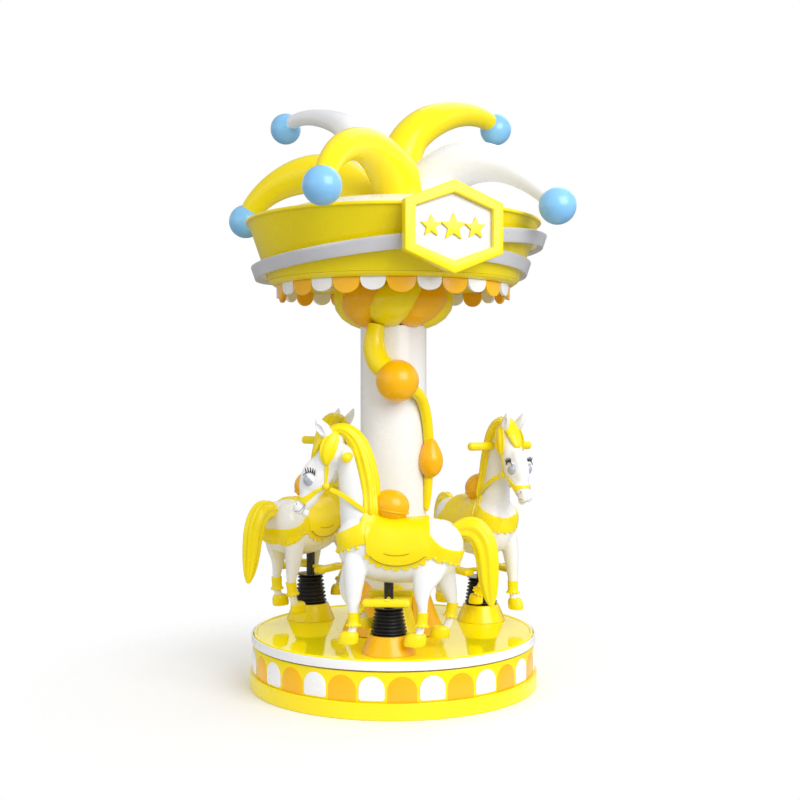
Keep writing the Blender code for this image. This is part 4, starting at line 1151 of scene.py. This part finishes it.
def flank(x, down, side, out):
    """Point near the torso at a place along it and a distance down its flank from the back."""
    turn = down / FLANK_R
    return Vector((x, side * (BARREL_WIDE + out) * sin(turn), BARREL_Z + (BARREL_TALL + out) * cos(turn)))


def edging(blanket, side, inset, span, half):
    """Piping on the cloth, along its edge or further in; its dark paint is painted shade of a groove."""
    def lay(along, across):
        x, down = cloth_edge(along * span)
        out = edge_side(along * span) * (across * half - inset)
        return flank(x + out.x, down + out.y, side, CLEAR)

    shape = sheet(90, 3, lay)
    wrapped(shape, blanket, 0.0, 0.0016)
    return out_facing(shape)


def scallop(body, side, middle):
    """Half-round tab that hangs from under the cloth's edge."""
    def lay(along, across):
        x, down = cloth_edge(middle + along * 9.4)
        drop = 0.023 * sqrt(max(0.0, 1.0 - along * along))
        reach = -0.008 + (0.008 + drop) * (across + 1.0) / 2.0
        out = edge_side(middle) * reach
        return flank(x + out.x, down + out.y, side, 0.004)

    shape = sheet(14, 5, lay)
    wrapped(shape, body, 0.0, 0.0050)
    eased(shape, 0.0012)
    return out_facing(shape)


def saddle(body):
    """Scalloped cloth, its piping in a dark paint that is painted shade of its grooves, and the seat on top."""
    def cloth(along, across):
        swing = 90.0 * along
        x, down = cloth_edge(swing)
        return flank(x, abs(across) * down, 1.0 if across >= 0.0 else -1.0, CLEAR)

    blanket = sheet(60, 80, cloth)
    wrapped(blanket, body, 0.0040, 0.0060)
    eased(blanket, 0.0015, 2, 60.0)
    pieces, lines = [], []
    for side in (-1.0, 1.0):
        # Dark piping along the edge and the inner line, painted as the shade of the grooves there
        lines.append(edging(blanket, side, 0.0040, 64.0, 0.0016))
        lines.append(edging(blanket, side, 0.0420, 30.0, 0.0013))
        for index in range(9):
            pieces.append(scallop(body, side, -68.0 + 17.0 * index))
    seat = egg((-0.010, 0.0, 0.594), (0.074, 0.067, 0.066), -14.0, 48, 30)
    welt = turned(((0.0625, 0.0), (0.0700, 0.0), (0.0735, 0.0025), (0.0735, 0.0065), (0.0700, 0.0090),
                   (0.0625, 0.0090)), 72, closed=True)
    eased(welt, 0.0015, 3, 20.0)
    welt.data.transform(Matrix.Translation((-0.010, 0.0, 0.571)) @ Matrix.Rotation(radians(-10.0), 4, "Y")
                        @ Matrix.Diagonal((1.0, 0.93, 1.0, 1.0)))
    return joined([blanket] + pieces), joined(lines), joined([seat, welt])


def locks(stations, strands, spread, voxel):
    """Hair as a body with strands laid round it, so that grooves run along."""
    parts = [tube([(x, y, z, deep * 0.84, wide * 0.84) for x, y, z, deep, wide in stations], 20)]
    for index in range(strands):
        turn = tau * (index + 0.5) / strands
        strand = []
        for place, (x, y, z, deep, wide) in enumerate(stations):
            before = stations[max(place - 1, 0)]
            after = stations[min(place + 1, len(stations) - 1)]
            lean = atan2(after[0] - before[0], after[2] - before[2])
            out = cos(turn) * deep * spread
            thin = 1.9 / strands
            strand.append((x + out * cos(lean), y + sin(turn) * wide * spread, z - out * sin(lean),
                           max(0.0035, deep * thin), max(0.0035, wide * thin)))
        parts.append(tube(strand, 10))
    return fused(parts, voxel, 2)


def face(body):
    """Eyes with their lids and lashes, and grey strokes of painted shade in the creases of the nostrils and the mouth.
    """
    whites, irises, lines, shade_strokes = [], [], [], []
    for side in (-1.0, 1.0):
        out = Vector((0.0, side, 0.0))
        irises.append(egg(EYE + out * 0.0420, (0.0230, 0.0160, 0.0245), 0.0, 36, 22))
        lid = egg(EYE + out * 0.0400 + Vector((-0.0025, 0.0, 0.0025)), (0.0280, 0.0172, 0.0300), 0.0, 36, 22)
        into_edit(lid)
        bpy.ops.mesh.bisect(plane_co=EYE + Vector((-0.0050, 0.0, 0.0055)), plane_no=(0.70, 0.0, -0.71),
                            clear_outer=True, use_fill=True)
        whites.append(out_of_edit())

        def on_lid(turn):
            return EYE + out * 0.0535 + Vector((-0.0025 - 0.0285 * sin(turn), 0.0, 0.0030 + 0.0305 * cos(turn)))

        rim = [(on_lid(radians(-58.0 + 14.5 * index)), 0.0018) for index in range(9)]
        lines.append(swept(rim, 10))
        for index in range(5):
            turn = radians(-24.0 + 17.5 * index)
            root = on_lid(turn)
            tip = root + out * 0.003 + Vector((-0.008 * sin(turn - 0.25), 0.0, 0.020))
            lines.append(swept([(root, 0.0026), (root.lerp(tip, 0.6), 0.0023), (tip, 0.0008)], 10))
        # Grey strokes along the nostril and the mouth are painted shade in their creases
        nostril = []
        for index in range(3):
            turn = radians(30.0 + 38.0 * index)
            nostril.append((0.380 - 0.0105 * sin(turn), side * 0.034, 0.602 + 0.0125 * cos(turn)))
        mouth = [(0.384, side * 0.030, 0.566), (0.372, side * 0.032, 0.572), (0.358, side * 0.034, 0.570),
                 (0.346, side * 0.036, 0.580), (0.338, side * 0.038, 0.594)]
        for line in (nostril, mouth):
            run = []
            for place in line:
                _, spot, normal, _ = body.closest_point_on_mesh(Vector(place))
                run.append((spot + normal * 0.0002, 0.0015))
            shade_strokes.append(swept(run, 8))
    return joined(whites), joined(irises), joined(lines), joined(shade_strokes)


def grip():
    """Hand bar through the neck, with rounded ends."""
    x, z, half, radius = GRIP
    line = []
    for index in range(7):
        turn = pi / 2.0 * index / 6.0
        line.append((Vector((x, -half + radius * 0.6 * (1.0 - cos(turn)), z)), max(0.002, radius * sin(turn))))
    ends = [(Vector((place.x, -place.y, place.z)), size) for place, size in reversed(line)]
    return out_facing(swept(line + ends, 24))


def footrest():
    """Two rounded foot pads on a cross tube."""
    parts = [swept([(Vector((0.0, -0.112, 0.219)), 0.0092), (Vector((0.0, 0.112, 0.219)), 0.0092)], 16)]
    for side in (-1.0, 1.0):
        bpy.ops.object.select_all(action="DESELECT")
        bpy.ops.mesh.primitive_cube_add(size=1.0, enter_editmode=True)
        bpy.ops.transform.resize(value=(0.190, 0.050, 0.029), center_override=(0.0, 0.0, 0.0))
        bpy.ops.transform.translate(value=(side * 0.006, side * 0.112, 0.219))
        pad = out_of_edit()
        eased(pad, 0.013, 5, 40.0)
        parts.append(pad)
        parts.append(egg((0.0, side * 0.131, 0.233), (0.015, 0.006, 0.006), 0.0, 16, 10))
    return joined(parts)


def horses():
    """The three horses with their tack, on their poles."""
    body = horse()
    cuffs, hooves = legwear()
    cloth, piping, seat = saddle(body)
    whites, irises, lashes, crease_shades = face(body)
    pieces = [
        (cuffs, "boot_cuffs", "yellow", "horse"),
        (hooves, "hooves", "yellow", "horse"),
        (tack(body), "bridle_and_bands", "yellow", "horse"),
        (whites, "eyelids", "white", "horse"),
        (irises, "eyes", "white", "horse"),
        (lashes, "eyelashes", "black_steel", "horse"),
        # Grey lines of painted shade in the muzzle's creases
        (crease_shades, "muzzle_shade_lines", "white", "horse"),
        (grip(), "grip_bar", "yellow", "horse"),
        (cloth, "saddle_cloth", "yellow", "saddle"),
        # Dark piping that is painted shade along the cloth's grooves
        (piping, "saddle_shade_piping", "yellow", "saddle"),
        (seat, "saddle_seat", "orange", "saddle"),
        (joined([locks(MANE, 11, 0.76, 0.0040), locks(SIDE_LOCK, 5, 0.70, 0.0028),
                 locks(mirrored(SIDE_LOCK), 5, 0.70, 0.0028)]), "mane_locks", "yellow", "mane"),
        (locks(TAIL, 7, 0.74, 0.0040), "tail_locks", "yellow", "tail"),
        (footrest(), "footrest", "yellow", "pole"),
        (turned(((0.0190, -0.1296), (0.0194, -0.128), (0.0194, 0.181), (0.062, 0.181), (0.065, 0.183), (0.065, 0.1855),
                 (0.0194, 0.188), (0.0194, 0.320)), 48), "pole_tube", "black_steel", "pole"),
        (body, "horse_body", "white", "horse"),
    ]
    for shape, part, slot, node in pieces:
        stable(shape, part, slot, node)
        bpy.data.objects.remove(shape, do_unlink=True)


studio()
base()
stations()
column()
hat()
horses()
